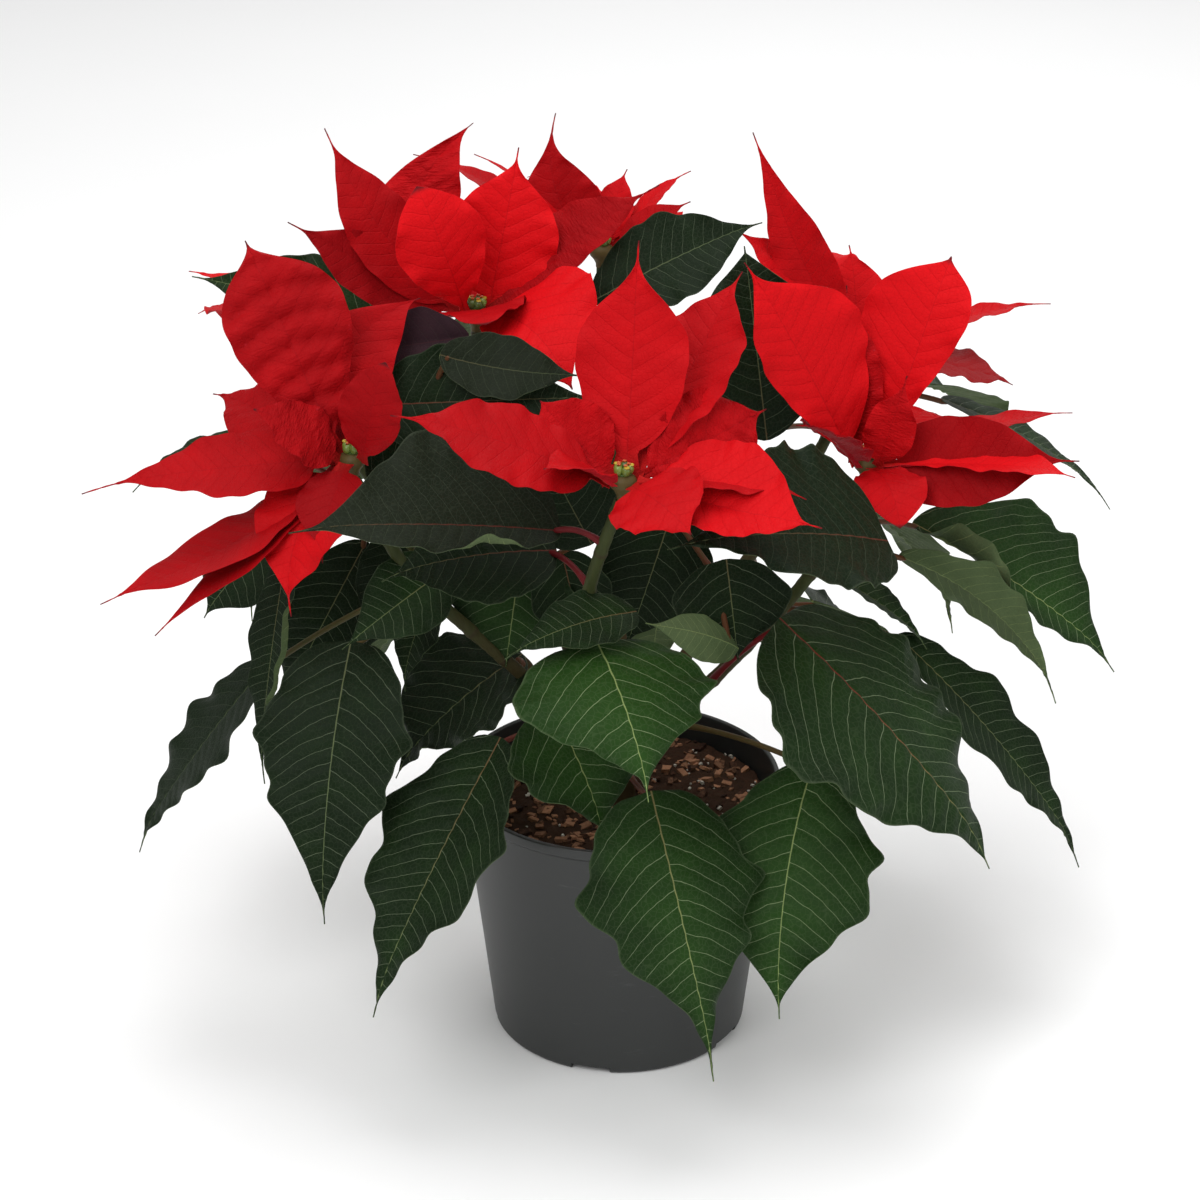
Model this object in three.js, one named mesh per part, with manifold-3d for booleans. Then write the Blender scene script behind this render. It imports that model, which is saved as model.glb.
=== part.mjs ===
// A poinsettia in its plastic nursery pot, in millimetres, +Z up.
// The origin is the middle of the pot's underside. The plant's front looks along -Y.
import * as THREE from 'three';
import { mergeVertices } from 'three/addons/utils/BufferGeometryUtils.js';
import Module from 'manifold-3d';

const wasm = await Module();
wasm.setup();

// Driving dimensions.
const potHeight = 110;
const potRimRadius = 65;
const potNeckRadius = 64;
const potBaseRadius = 52;
const potWall = 1.8;
const potRimHeight = 5;
const potFloor = 5;
const potCorner = 2.5;
const potSides = 26;
const cornerSteps = 3;
const notchCount = 5;
const notchTurn = -13;
const notch = { wide: 16, high: 3, inner: 22 };
const step = { wide: 18, high: 1, inner: 42 };
const drain = { radius: 4, at: 32, sides: 8 };
const soilTop = 98;
const soilRelief = 1.5;
const soilDome = 2;
const soilRings = 4;
const soilSides = 20;
const stemDepth = 40;
const trunkRadius = 5.5;
const trunkSides = 8;
const trunkSteps = 4;
const branchRadius = 2.6;
const branchSides = 6;
const branchSteps = 5;
const petioleRadius = 1.3;
const petioleSides = 4;
const petioleSteps = 4;
const petioleRise = 6;
const petioleInset = 3;
const shootRadius = 1.8;
const shootRows = 5;
const bladeThick = 0.7;
const tipHalf = 0.4;
const leafRows = 6;
const lobedRows = 8;
const bractRows = 6;
const bladeCols = 2;
const foldedCols = 4;
const flatness = 0.05;
const gap = 0.3;
const coreRadius = 8;
const coreHigh = 5;
const bractReach = 6;
const wellFloor = 2;
const wellTop = 10;
const wellSides = 8;
const cyathiaRadius = 4.2;
const cyathiaBase = 2;
const cyathiaSides = 5;
const budRadius = 1.3;
const budHigh = 6;
const budMiddle = 6;
const budCount = 5;

const mat = (color, roughness) => new THREE.MeshStandardMaterial({ color, roughness, metalness: 0 });
const potPlastic = mat(0x46494c, 0.55);
const soilBrown = mat(0x3a2a1e, 0.95);
const stemGreen = mat(0x5f7040, 0.6);
const leafGreen = mat(0x16301c, 0.5);
const bractRed = mat(0xc81418, 0.5);
const budGreen = mat(0x8fa03c, 0.5);

// Branches: the points each one passes through, from the trunk to just under its bloom.
const branches = {
  front: [[0, -2, 118], [-10, -30, 165], [-12, -58, 216], [0, -70, 261]],
  left: [[-3, 0, 118], [-40, -8, 160], [-82, -24, 212], [-101, -30, 253]],
  upper_left: [[-3, 3, 120], [-30, 28, 180], [-50, 44, 240], [-57, 50, 282]],
  right: [[3, 0, 118], [38, -4, 156], [76, 6, 198], [97, 20, 231]],
  upper_right: [[3, 3, 120], [45, 42, 175], [84, 76, 225], [98, 90, 255]],
  back: [[0, 3, 120], [2, 52, 180], [-6, 96, 240], [-8, 110, 288]],
  far_left: [[-3, 2, 116], [-60, 50, 160], [-112, 90, 215], [-134, 108, 262]],
};
const trunk = [[0, 0, soilTop - stemDepth], [1, -1, 100], [0, 0, 124]];

// Leaves: the branch and the share of its length where the petiole starts, the foot and tip of
// the blade, its full width, and how it is bent. face is the way the upper side looks, and a
// blade that is uneven has one half wider than the other.
const leaves = {
  front: {
    on: ['front', 0.08], rise: -8, at: [12, -66, 138], tip: [37, -128, 48], wide: 70, widest: 0.32,
    arch: 10, sway: 3, fold: -5, lobes: 0.12, point: 1.4,
  },
  front_right: {
    on: ['right', 0.15], at: [76, -38, 137], tip: [61, -100, 58], wide: 70, widest: 0.48, arch: 8,
    sway: 3, lobes: 0.08, point: 1,
  },
  right_front: {
    on: ['right', 0.3], at: [61, -38, 198], tip: [144, -80, 115], wide: 112, widest: 0.37,
    arch: 10, sway: 9, fold: -6, uneven: -0.05, lobes: 0.05, point: 0.65,
  },
  right_mid: {
    on: ['right', 0.55], at: [111, 10, 168], tip: [190, -10, 75], wide: 38, widest: 0.42, arch: 5,
    face: [0.5, -0.4, 1], lobes: 0.12, point: 0.8,
  },
  right_under: {
    on: ['right', 0.72], at: [112, 27, 196], tip: [176, 0, 145], wide: 36, arch: 9, sway: 2,
    face: [-0.2, 0.8, 0.8], lobes: 0.14,
  },
  right_upper: {
    on: ['right', 0.82], at: [118, 42, 203], tip: [204, 30, 144], wide: 53, widest: 0.48, arch: 6,
    sway: 0, face: [0, -0.4, 1], uneven: -0.45, lobes: 0.06,
  },
  right_back: {
    on: ['upper_right', 0.85], at: [133, 95, 236], tip: [208, 95, 189], wide: 32, arch: 5,
    lobes: 0.1, rows: 6,
  },
  centre_right: {
    on: ['right', 0.93], at: [102, -28, 226], tip: [19, -85, 250], wide: 66, widest: 0.35, arch: 6,
    face: [0, -0.8, 1], uneven: 0.2, point: 1,
  },
  centre_left: {
    on: ['front', 0.85], at: [-22, -60, 244], tip: [-119, -88, 257], wide: 54, widest: 0.4,
    arch: 4, face: [0, -0.8, 1], uneven: 0.5,
  },
  centre_left_low: {
    on: ['front', 0.7], at: [-24, -42, 228], tip: [-90, -50, 220], wide: 50, arch: 5,
    face: [0, -0.6, 1],
  },
  left_front: {
    on: ['left', 0.55], at: [-104, -30, 184], tip: [-114, -85, 90], wide: 58, widest: 0.33,
    arch: 8, sway: 1, lobes: 0.08, point: 0.8,
  },
  left_low: {
    on: ['left', 0.12], at: [-46, -45, 150], tip: [-96, -105, 62], wide: 58, widest: 0.4, arch: 8,
    sway: -4, lobes: 0.12, point: 0.8,
  },
  centre: {
    on: ['front', 0.55], at: [-9, -72, 205], tip: [11, -122, 165], wide: 78, widest: 0.33, arch: 6,
    fold: -6, lobes: 0.06,
  },
  centre_low: {
    on: ['front', 0.3], at: [-27, -42, 161], tip: [-6, -70, 121], wide: 64, widest: 0.4, arch: 4,
  },
  far_left: {
    on: ['left', 0.62], at: [-141, 0, 159], tip: [-196, -20, 86], wide: 46, widest: 0.36, arch: 4,
    sway: -4, lobes: 0.12, point: 0.8,
  },
  left_edge: {
    on: ['left', 0.84], at: [-130, -10, 211], tip: [-142, -34, 123], wide: 22, widest: 0.35,
    arch: 2, face: [-0.6, -0.8, 0.3], lobes: 0.1,
  },
  left_small: {
    on: ['left', 0.8], at: [-139, 22, 204], tip: [-167, 12, 174], wide: 34, arch: 4,
    face: [-0.5, -1, 0.3], rows: 6,
  },
  left_behind: {
    on: ['left', 0.88], rise: 4, at: [-101, 18, 205], tip: [-138, 16, 133], wide: 44, widest: 0.45,
    arch: 5, face: [0, -1, 0.3], lobes: 0.1,
  },
  left_inner: {
    on: ['left', 0.3], at: [-39, 10, 159], tip: [-91, -14, 117], wide: 78, arch: 4, lobes: 0.08,
  },
  top: {
    on: ['back', 0.88], at: [-11, 52, 294], tip: [56, 72, 321], wide: 37, widest: 0.45, arch: 4,
    face: [0.2, -1, 1],
  },
  top_low: {
    on: ['upper_right', 0.7], at: [58, 32, 243], tip: [48, 38, 321], wide: 54, widest: 0.5,
    face: [0, -1, 0.6], point: 0.4,
  },
  purple: {
    on: ['upper_left', 0.85], at: [-58, 6, 296], tip: [-96, 5, 290], wide: 27, widest: 0.5,
    arch: 2, face: [0, -1, 0.5], point: 0.5, rows: 6,
  },
  back_left: {
    on: ['upper_left', 0.75], at: [-94, 82, 275], tip: [-175, 90, 291], wide: 38, arch: 0,
    face: [0, -1, 0.5], rows: 6,
  },
  left_upper: {
    on: ['left', 0.92], at: [-141, 20, 248], tip: [-192, 10, 231], wide: 22, arch: 4, rows: 6,
  },
  back_a: {
    on: ['back', 0.7], at: [10, 120, 222], tip: [40, 178, 150], wide: 60, widest: 0.35, arch: 10,
    lobes: 0.1, rows: 6,
  },
  back_b: {
    on: ['back', 0.55], at: [-30, 112, 190], tip: [-52, 165, 105], wide: 58, widest: 0.35,
    arch: 10, lobes: 0.12, rows: 6,
  },
  back_c: {
    on: ['upper_right', 0.6], at: [95, 100, 190], tip: [150, 140, 110], wide: 56, widest: 0.35,
    arch: 8, lobes: 0.1, rows: 6,
  },
  back_d: {
    on: ['upper_right', 0.4], at: [60, 92, 150], tip: [82, 140, 70], wide: 52, widest: 0.35,
    arch: 8, lobes: 0.1, rows: 6,
  },
  back_e: {
    on: ['far_left', 0.75], at: [-118, 130, 200], tip: [-140, 180, 130], wide: 54, widest: 0.35,
    arch: 8, lobes: 0.1, rows: 6,
  },
  back_f: {
    on: ['far_left', 0.5], at: [-95, 85, 150], tip: [-130, 125, 75], wide: 54, widest: 0.35,
    arch: 8, lobes: 0.1, rows: 6,
  },
  back_g: {
    on: ['far_left', 0.65], at: [-126, 64, 192], tip: [-158, 84, 140], wide: 46, widest: 0.35,
    arch: 8, lobes: 0.1, rows: 6,
  },
  back_h: {
    on: ['back', 0.85], at: [-30, 140, 262], tip: [-72, 185, 222], wide: 50, arch: 6, rows: 5,
  },
  back_i: {
    on: ['upper_right', 0.75], at: [126, 124, 232], tip: [165, 162, 188], wide: 48, arch: 6,
    rows: 5,
  },
  back_j: {
    on: ['upper_right', 0.25], at: [80, 60, 160], tip: [126, 92, 88], wide: 50, widest: 0.35,
    arch: 8, rows: 5,
  },
  back_k: {
    on: ['far_left', 0.35], at: [-76, 42, 168], tip: [-118, 70, 100], wide: 46, widest: 0.35,
    arch: 6, rows: 5,
  },
  back_l: {
    on: ['back', 0.3], at: [22, 84, 165], tip: [14, 128, 86], wide: 52, widest: 0.35, arch: 8,
    rows: 5,
  },
  centre_top: {
    on: ['front', 0.62], at: [6, -62, 212], tip: [-42, -88, 206], wide: 26, arch: 5,
    face: [0, -0.6, 1],
  },
  right_small: { on: ['right', 0.66], at: [87, 12, 192], tip: [124, 10, 163], wide: 28, arch: 2 },
};

// Shoots: short side stems with a few young leaves. on is the branch and the share of its length
// where the shoot starts, and to is where it ends and its leaves begin.
const shoots = {
  left: { on: ['left', 0.8], to: [-77, 0, 204], leaves: [
    { at: [-66, -18, 210], tip: [-106, -45, 188], wide: 32, arch: 5, face: [0, -1, 0.6], point: 1 },
    { at: [-70, 0, 200], tip: [-86, -15, 155], wide: 28, arch: 3 },
    { at: [-84, 6, 218], tip: [-102, 0, 170], wide: 24, arch: 3, face: [0, -1, 0.4] },
  ] },
  right: { on: ['right', 0.5], to: [37, -14, 205], leaves: [
    { at: [41, -16, 213], tip: [46, -28, 174], wide: 46, arch: 3, face: [0, -1, 0.4] },
    { at: [45, -34, 183], tip: [9, -46, 199], wide: 20, arch: 4, face: [0, -0.8, 1], point: 1 },
    { at: [21, 4, 227], tip: [2, 0, 166], wide: 46, arch: 4, face: [0, -1, 0.3] },
  ] },
  upper: { on: ['upper_left', 0.6], to: [-79, 2, 261], leaves: [
    { at: [-68, -14, 296], tip: [-14, -26, 293], wide: 26, arch: -7, face: [0, -1, 0.8] },
    { at: [-95, -10, 274], tip: [-7, -16, 280], wide: 44, arch: 2, face: [0, -1, 0.5] },
    { at: [-94, 10, 262], tip: [-66, 6, 238], wide: 42, arch: 2, face: [0, -1, 0.4] },
  ] },
  middle: { on: ['upper_left', 0.35], to: [-30, 6, 202], leaves: [
    { at: [-39, 0, 207], tip: [-45, -14, 165], wide: 50, arch: 3, face: [0, -1, 0.3] },
    { at: [-11, -25, 223], tip: [-32, -20, 264], wide: 36, arch: 3, face: [0, -1, 0.4] },
    { at: [-23, -6, 212], tip: [-13, -10, 169], wide: 32, arch: 3, face: [0, -1, 0.3] },
  ] },
};

// Blooms: the middle, and the tip, width and bend of each bract.
const blooms = {
  front: { middle: [1, -70, 268], bracts: [
    { tip: [6, -40, 350], wide: 42, widest: 0.46, arch: -3, point: 3.4, sudden: 3 },
    { tip: [44, -15, 331], wide: 40, widest: 0.5, arch: -2 },
    { tip: [54, -45, 287], wide: 38, widest: 0.5, face: [0, -1, 0.5] },
    { tip: [72, -95, 262], wide: 42, arch: -3, face: [0, -0.7, 1], uneven: -0.35 },
    { tip: [68, -70, 263], wide: 26 },
    { tip: [-81, -85, 301], wide: 35, face: [0, -0.6, 1] },
    { tip: [-30, -45, 290], wide: 30, face: [0, -1, 0.3], point: 1 },
    { tip: [-27, -92, 283], wide: 26, point: 1 },
    { tip: [25, -102, 262], wide: 38, face: [0, -0.7, 1], point: 1 },
  ] },
  left: { middle: [-101, -30, 260], bracts: [
    {
      tip: [-139, -15, 341], wide: 46, widest: 0.6, face: [0.2, -1, 0.3], uneven: 0.1, point: 1.6,
      sudden: 6,
    },
    { tip: [-76, 5, 312], wide: 34, sway: -18, face: [0.2, -1, 0.3], point: 1 },
    { tip: [-87, -42, 303], wide: 25, widest: 0.5, face: [-0.2, -1, 0.3], point: 0.15 },
    { tip: [-158, 10, 272], wide: 38, face: [0, -0.6, 1] },
    {
      tip: [-201, -50, 256], wide: 32, widest: 0.3, arch: 3, face: [0, -0.5, 1], point: 3,
      sudden: 2,
    },
    { tip: [-193, -75, 223], wide: 31, widest: 0.45, arch: -8 },
    { tip: [-173, -80, 212], wide: 18, arch: -3 },
    { tip: [-123, -70, 214], wide: 38, widest: 0.3, arch: 6, sway: 5 },
    { tip: [-111, -62, 232], wide: 26, arch: 6 },
    { tip: [-120, 20, 280], wide: 34, arch: 6 },
    { tip: [-135, -44, 286], wide: 24, arch: 4, face: [0, -0.8, 1], point: 0.6 },
  ] },
  upper_left: { middle: [-57, 50, 289], bracts: [
    { tip: [-115, 60, 362], wide: 28, sway: -7, face: [0.4, -1, 0.2] },
    { tip: [-59, 85, 357], wide: 36, sway: -23, face: [0, -1, 0.2], point: 1 },
    { tip: [-78, 34, 346], wide: 36, widest: 0.62, arch: 6, face: [0.2, -1, 0.3], point: 0.2 },
    { tip: [-40, 60, 354], wide: 44, face: [0.1, -1, 0.3] },
    { tip: [-128, 35, 332], wide: 26, arch: -4, face: [0, -1, 0.6] },
    { tip: [14, 60, 340], wide: 26, face: [0, -1, 1.2], uneven: -0.3 },
    {
      tip: [-19, 2, 277], wide: 48, arch: 10, sway: -5, face: [0.2, -1, 0.6], uneven: -0.4,
      point: 0.8,
    },
    { tip: [-52, 11, 300], wide: 38, arch: 4, face: [0, -0.8, 1], point: 0 },
    { tip: [-70, 110, 300], wide: 34, arch: 6 },
    { tip: [-15, 100, 306], wide: 30, arch: 6 },
  ] },
  right: { middle: [97, 20, 238], bracts: [
    { tip: [48, 4, 326], wide: 44, widest: 0.55, face: [0.3, -1, 0.5], uneven: 0.3 },
    {
      tip: [127, 30, 320], wide: 40, widest: 0.68, face: [-0.2, -1, 0.3], uneven: -0.35, point: 1,
      sudden: 10,
    },
    { tip: [177, 0, 248], wide: 36, widest: 0.32, arch: 2, face: [0, -1, 0.6] },
    { tip: [174, -12, 248], wide: 20, widest: 0.68, arch: 2 },
    { tip: [108, -14, 226], wide: 30, widest: 0.5, arch: 6, point: 0.2 },
    { tip: [68, -2, 264], wide: 34 },
    { tip: [110, 8, 279], wide: 20, face: [0, -1, 0.5] },
    { tip: [179, 40, 254], wide: 22, arch: 2 },
    { tip: [130, 70, 240], wide: 30, arch: 6 },
    { tip: [87, 24, 310], wide: 24, arch: 2, face: [0, -1, 0.3] },
  ] },
  upper_right: { middle: [98, 90, 262], bracts: [
    {
      tip: [53, 80, 354], wide: 24, widest: 0.33, sway: -4, face: [0.3, -1, 0.2], point: 1.2,
      sudden: 1,
    },
    { tip: [45, 75, 318], wide: 28, face: [0.4, -0.6, 1] },
    { tip: [178, 112, 274], wide: 16, arch: 1 },
    { tip: [161, 82, 249], wide: 42, widest: 0.5, arch: 0, point: 1 },
    { tip: [94, 110, 298], wide: 26 },
    { tip: [118, 144, 262], wide: 30, arch: 4 },
    { tip: [70, 150, 285], wide: 36, arch: 8 },
  ] },
  back: { middle: [-8, 110, 295], bracts: [
    { tip: [-27, 125, 349], wide: 34, widest: 0.3, sway: -8, face: [0, -1, 0.2], sudden: 1 },
    { tip: [-59, 115, 336], wide: 10 },
    { tip: [-85, 130, 332], wide: 16 },
    { tip: [2, 130, 324], wide: 18 },
    { tip: [28, 130, 324], wide: 12 },
    { tip: [28, 112, 316], wide: 14, face: [0, -1, 1] },
    { tip: [-40, 175, 308], wide: 30, arch: 8 },
    { tip: [20, 170, 292], wide: 38, arch: 4 },
    { tip: [-5, 190, 265], wide: 36, arch: 12 },
  ] },
  far_left: { middle: [-134, 108, 263], bracts: [
    { tip: [-178, 110, 287], wide: 18 },
    { tip: [-155, 118, 286], wide: 18 },
    { tip: [-114, 112, 287], wide: 26 },
    { tip: [-134, 160, 268], wide: 36, arch: 4 },
    { tip: [-180, 140, 258], wide: 34, arch: 4 },
    { tip: [-95, 150, 262], wide: 34, arch: 4 },
  ] },
};
const leafShape = { point: 1.1, thread: 0.03 };
const bractShape = { arch: 3, foot: 2, stalk: 0.1, point: 2.6, sudden: 4 };

// Half the width of a blade at t, as a share of its widest half: a round shoulder, a drawn-out
// tip and, on a lobed leaf, two shallow teeth at each side. thread is the share of the length
// that is only the thin end of the tip.
function outline(share, { widest = 0.4, point = 1.4, sudden = 1, lobes = 0, thread = 0 }) {
  const t = Math.min(share / (1 - thread), 1);
  const skew = Math.log(0.5) / Math.log(widest);
  const body = Math.sin(Math.PI * t ** skew) ** (0.6 + point * t ** sudden);
  const teeth = Math.exp(-(((t - 0.37) / 0.07) ** 2)) + 0.8 * Math.exp(-(((t - 0.6) / 0.06) ** 2));
  return body * (1 - lobes + 2 * lobes * teeth);
}

const vec = (p) => new THREE.Vector3(...p);
const curveOf = (points) => new THREE.CatmullRomCurve3(points.map(vec));

// A function (t, s) that gives the point of a blade's middle surface, t from foot to tip and
// s from -1 to 1 across it. arch lifts the blade's middle, sway moves it sideways, fold lifts
// its two edges and uneven moves both edges to one side.
function bladeSurface({ at, tip, wide, arch = 0, sway = 0, face = [0, 0, 1], fold = 0,
  uneven = 0, stalk = 0, foot = petioleRadius, ...shape }) {
  const start = vec(at);
  const chord = vec(tip).sub(start);
  const along = chord.clone().normalize();
  const side = along.clone().cross(vec(face)).normalize();
  const up = side.clone().cross(along);
  return (t, s) => {
    const hump = 4 * t * (1 - t);
    const blade = Math.max((t - stalk) / (1 - stalk), 0);
    const half = Math.max(wide / 2 * outline(blade, shape), foot * (1 - t) ** 4, tipHalf);
    const lift = fold * Math.abs(s) ** 1.3 * half / (wide / 2);
    const across = half * (s + uneven * Math.abs(s) * (1 - t ** 4));
    return start.clone()
      .addScaledVector(chord, t)
      .addScaledVector(side, sway * hump + across)
      .addScaledVector(up, arch * hump + lift);
  };
}

// A closed blade: the middle surface moved half its thickness to each side, both faces split alike.
function bladeGeometry(blade, rows, cols) {
  const surface = bladeSurface(blade);
  const nudge = 1e-3;
  const points = [];
  for (const sign of [1, -1]) {
    for (let i = 0; i <= rows; i += 1) {
      for (let j = 0; j <= cols; j += 1) {
        const t = i / rows;
        const s = -1 + 2 * j / cols;
        const dt = surface(Math.min(t + nudge, 1), s).sub(surface(Math.max(t - nudge, 0), s));
        const ds = surface(t, Math.min(s + nudge, 1)).sub(surface(t, Math.max(s - nudge, -1)));
        const normal = ds.cross(dt).normalize();
        points.push(...surface(t, s).addScaledVector(normal, sign * bladeThick / 2).toArray());
      }
    }
  }
  const width = cols + 1;
  const under = (rows + 1) * width;
  const index = [];
  const quad = (a, b, c, d) => index.push(a, b, c, a, c, d);
  for (let i = 0; i < rows; i += 1) {
    for (let j = 0; j < cols; j += 1) {
      const a = i * width + j;
      const b = a + 1;
      const c = b + width;
      const d = a + width;
      quad(a, b, c, d);
      index.push(under + a, under + c, under + b, under + a, under + d, under + c);
    }
    const left = i * width;
    const right = left + cols;
    quad(left, left + width, under + left + width, under + left);
    quad(right, under + right, under + right + width, right + width);
  }
  for (let j = 0; j < cols; j += 1) {
    const end = rows * width + j;
    quad(j, under + j, under + j + 1, j + 1);
    quad(end, end + 1, under + end + 1, under + end);
  }
  const geometry = new THREE.BufferGeometry();
  geometry.setAttribute('position', new THREE.Float32BufferAttribute(points, 3));
  geometry.setIndex(index);
  return geometry;
}

function toSolid(geometry) {
  const bare = geometry.clone();
  bare.deleteAttribute('normal');
  bare.deleteAttribute('uv');
  const merged = mergeVertices(bare, 1e-4);
  return new wasm.Manifold(new wasm.Mesh({
    numProp: 3,
    vertProperties: new Float32Array(merged.attributes.position.array),
    triVerts: new Uint32Array(merged.index.array),
  }));
}

function toGeometry(solid) {
  const mesh = solid.simplify(flatness).getMesh();
  const geometry = new THREE.BufferGeometry();
  geometry.setAttribute('position', new THREE.BufferAttribute(mesh.vertProperties, 3));
  geometry.setIndex(new THREE.BufferAttribute(mesh.triVerts, 1));
  return geometry;
}

// The largest of a solid's separate bodies.
function mainBody(solid) {
  return solid.decompose().reduce((best, body) => (body.volume() > best.volume() ? body : best));
}

function tube(curve, radius, sides, steps) {
  const ring = new THREE.Shape();
  ring.moveTo(radius, 0);
  for (let i = 1; i < sides; i += 1) {
    const angle = 2 * Math.PI * i / sides;
    ring.lineTo(radius * Math.cos(angle), radius * Math.sin(angle));
  }
  return toSolid(new THREE.ExtrudeGeometry(ring, { steps, extrudePath: curve, bevelEnabled: false }));
}

// An upright cylinder from one height to another.
function cylinder(radius, low, high, sides, x = 0, y = 0, topRadius = radius) {
  const geometry = new THREE.CylinderGeometry(topRadius, radius, high - low, sides);
  geometry.rotateX(Math.PI / 2);
  geometry.translate(x, y, (low + high) / 2);
  return toSolid(geometry);
}

const branchCurves = {};
for (const [name, points] of Object.entries(branches)) {
  branchCurves[name] = curveOf(points);
}

// The trunk and its branches, thicker by grow where they cut their own room in another piece.
function stemSolid(grow) {
  const tubes = [tube(curveOf(trunk), trunkRadius + grow, trunkSides, trunkSteps)];
  for (const curve of Object.values(branchCurves)) {
    tubes.push(tube(curve, branchRadius + grow, branchSides, branchSteps));
  }
  return wasm.Manifold.union(tubes);
}
const stemRoom = stemSolid(gap * 1.3);

// A stalk that rises from one point and comes down to another.
function stalkSolid(from, to, rise, radius) {
  const bend = from.clone().lerp(to, 0.5).add(new THREE.Vector3(0, 0, rise));
  const curve = new THREE.QuadraticBezierCurve3(from, bend, to);
  return tube(curve, radius, petioleSides, petioleSteps);
}

// A blade joined to its petiole, which starts at root.
function bladeOnPetiole(root, { rise = petioleRise, rows, ...leaf }) {
  const blade = { ...leafShape, ...leaf };
  const foot = vec(blade.at);
  const along = vec(blade.tip).sub(foot).normalize();
  const end = foot.clone().addScaledVector(along, petioleInset);
  const cols = blade.fold ? foldedCols : bladeCols;
  const body = toSolid(bladeGeometry(blade, rows ?? (blade.lobes ? lobedRows : leafRows), cols));
  return body.add(stalkSolid(root, end, rise, petioleRadius));
}

// A leaf with its petiole, cut off just outside the branch it grows from.
function leafSolid({ on: [branch, share], ...leaf }) {
  return mainBody(bladeOnPetiole(branchCurves[branch].getPoint(share), leaf).subtract(stemRoom));
}

// A shoot's stalk, cut off just outside its branch, with the young leaves at its end.
function shootSolid({ on: [branch, share], to, leaves: young }) {
  const end = vec(to);
  const solids = [stalkSolid(branchCurves[branch].getPoint(share), end, petioleRise, shootRadius)];
  for (const leaf of young) {
    solids.push(bladeOnPetiole(end, { rise: 0, rows: shootRows, ...leaf }));
  }
  return mainBody(wasm.Manifold.union(solids).subtract(stemRoom));
}

// The bracts of a bloom on their low core, with a well for the cyathia in its middle.
function bloomSolid({ middle, bracts }) {
  const [x, y, z] = middle;
  const core = new THREE.IcosahedronGeometry(coreRadius, 0);
  core.scale(1, 1, coreHigh / coreRadius);
  core.translate(x, y, z);
  const solids = [toSolid(core)];
  for (const bract of bracts) {
    const out = vec(bract.tip).sub(vec(middle)).setZ(0).normalize();
    const at = vec(middle).addScaledVector(out, bractReach).toArray();
    solids.push(toSolid(bladeGeometry({ ...bractShape, ...bract, at }, bractRows, bladeCols)));
  }
  const well = cylinder(cyathiaRadius + gap, z + wellFloor, z + wellTop, wellSides, x, y);
  return mainBody(wasm.Manifold.union(solids).subtract(well).subtract(stemRoom));
}

// The small yellow-green flowers: buds on a low base that stands in the bloom's well.
function cyathiaSolid({ middle }) {
  const [x, y, z] = middle;
  const low = z + wellFloor + gap;
  const base = [cyathiaRadius * 0.7, cyathiaRadius * 0.8];
  const solids = [cylinder(base[0], low, low + cyathiaBase, cyathiaSides, x, y, base[1])];
  const reach = cyathiaRadius - budRadius;
  for (let i = 0; i < budCount; i += 1) {
    const angle = 2 * Math.PI * i / budCount;
    const bud = new THREE.OctahedronGeometry(budRadius, 0);
    bud.rotateZ(angle);
    bud.scale(1, 1, budHigh / (2 * budRadius));
    bud.translate(x + reach * Math.cos(angle), y + reach * Math.sin(angle), z + budMiddle);
    solids.push(toSolid(bud));
  }
  return wasm.Manifold.union(solids);
}

// Inner radius of the pot's wall at height z.
function potInner(z) {
  const share = (z - potCorner) / (potHeight - potRimHeight - potCorner);
  return potBaseRadius + (potNeckRadius - potBaseRadius) * share - potWall;
}

// A radial channel across the pot's underside, turned to an angle from the front.
function channel({ wide, high, inner }, angle) {
  const reach = potBaseRadius + potWall - inner;
  const geometry = new THREE.BoxGeometry(wide, reach, high * 2);
  geometry.translate(0, -(inner + reach / 2), 0);
  geometry.rotateZ(angle);
  return toSolid(geometry);
}

function potSolid() {
  const profile = [new THREE.Vector2(0, 0)];
  for (let i = 0; i <= cornerSteps; i += 1) {
    const angle = Math.PI / 2 * i / cornerSteps;
    const x = potBaseRadius - potCorner + potCorner * Math.sin(angle);
    profile.push(new THREE.Vector2(x, potCorner - potCorner * Math.cos(angle)));
  }
  const rimLow = potHeight - potRimHeight;
  profile.push(
    new THREE.Vector2(potNeckRadius, rimLow),
    new THREE.Vector2(potRimRadius, rimLow + (potRimRadius - potNeckRadius)),
    new THREE.Vector2(potRimRadius, potHeight),
    new THREE.Vector2(potInner(potHeight), potHeight),
    new THREE.Vector2(potInner(potFloor), potFloor),
    new THREE.Vector2(0, potFloor),
  );
  const lathe = new THREE.LatheGeometry(profile, potSides);
  lathe.rotateX(Math.PI / 2);
  let pot = toSolid(lathe);
  for (let i = 0; i < notchCount; i += 1) {
    const angle = THREE.MathUtils.degToRad(notchTurn + 360 * i / notchCount);
    pot = pot.subtract(channel(notch, angle));
    pot = pot.subtract(channel(step, angle + Math.PI / notchCount));
    const [x, y] = [drain.at * Math.sin(angle), -drain.at * Math.cos(angle)];
    pot = pot.subtract(cylinder(drain.radius, notch.high - 1, potFloor + 1, drain.sides, x, y));
  }
  return pot;
}

// A seeded run of numbers from 0 to 1.
function randomRun(seed) {
  let state = seed;
  return () => {
    state = (state * 16807) % 2147483647;
    return state / 2147483647;
  };
}

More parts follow.
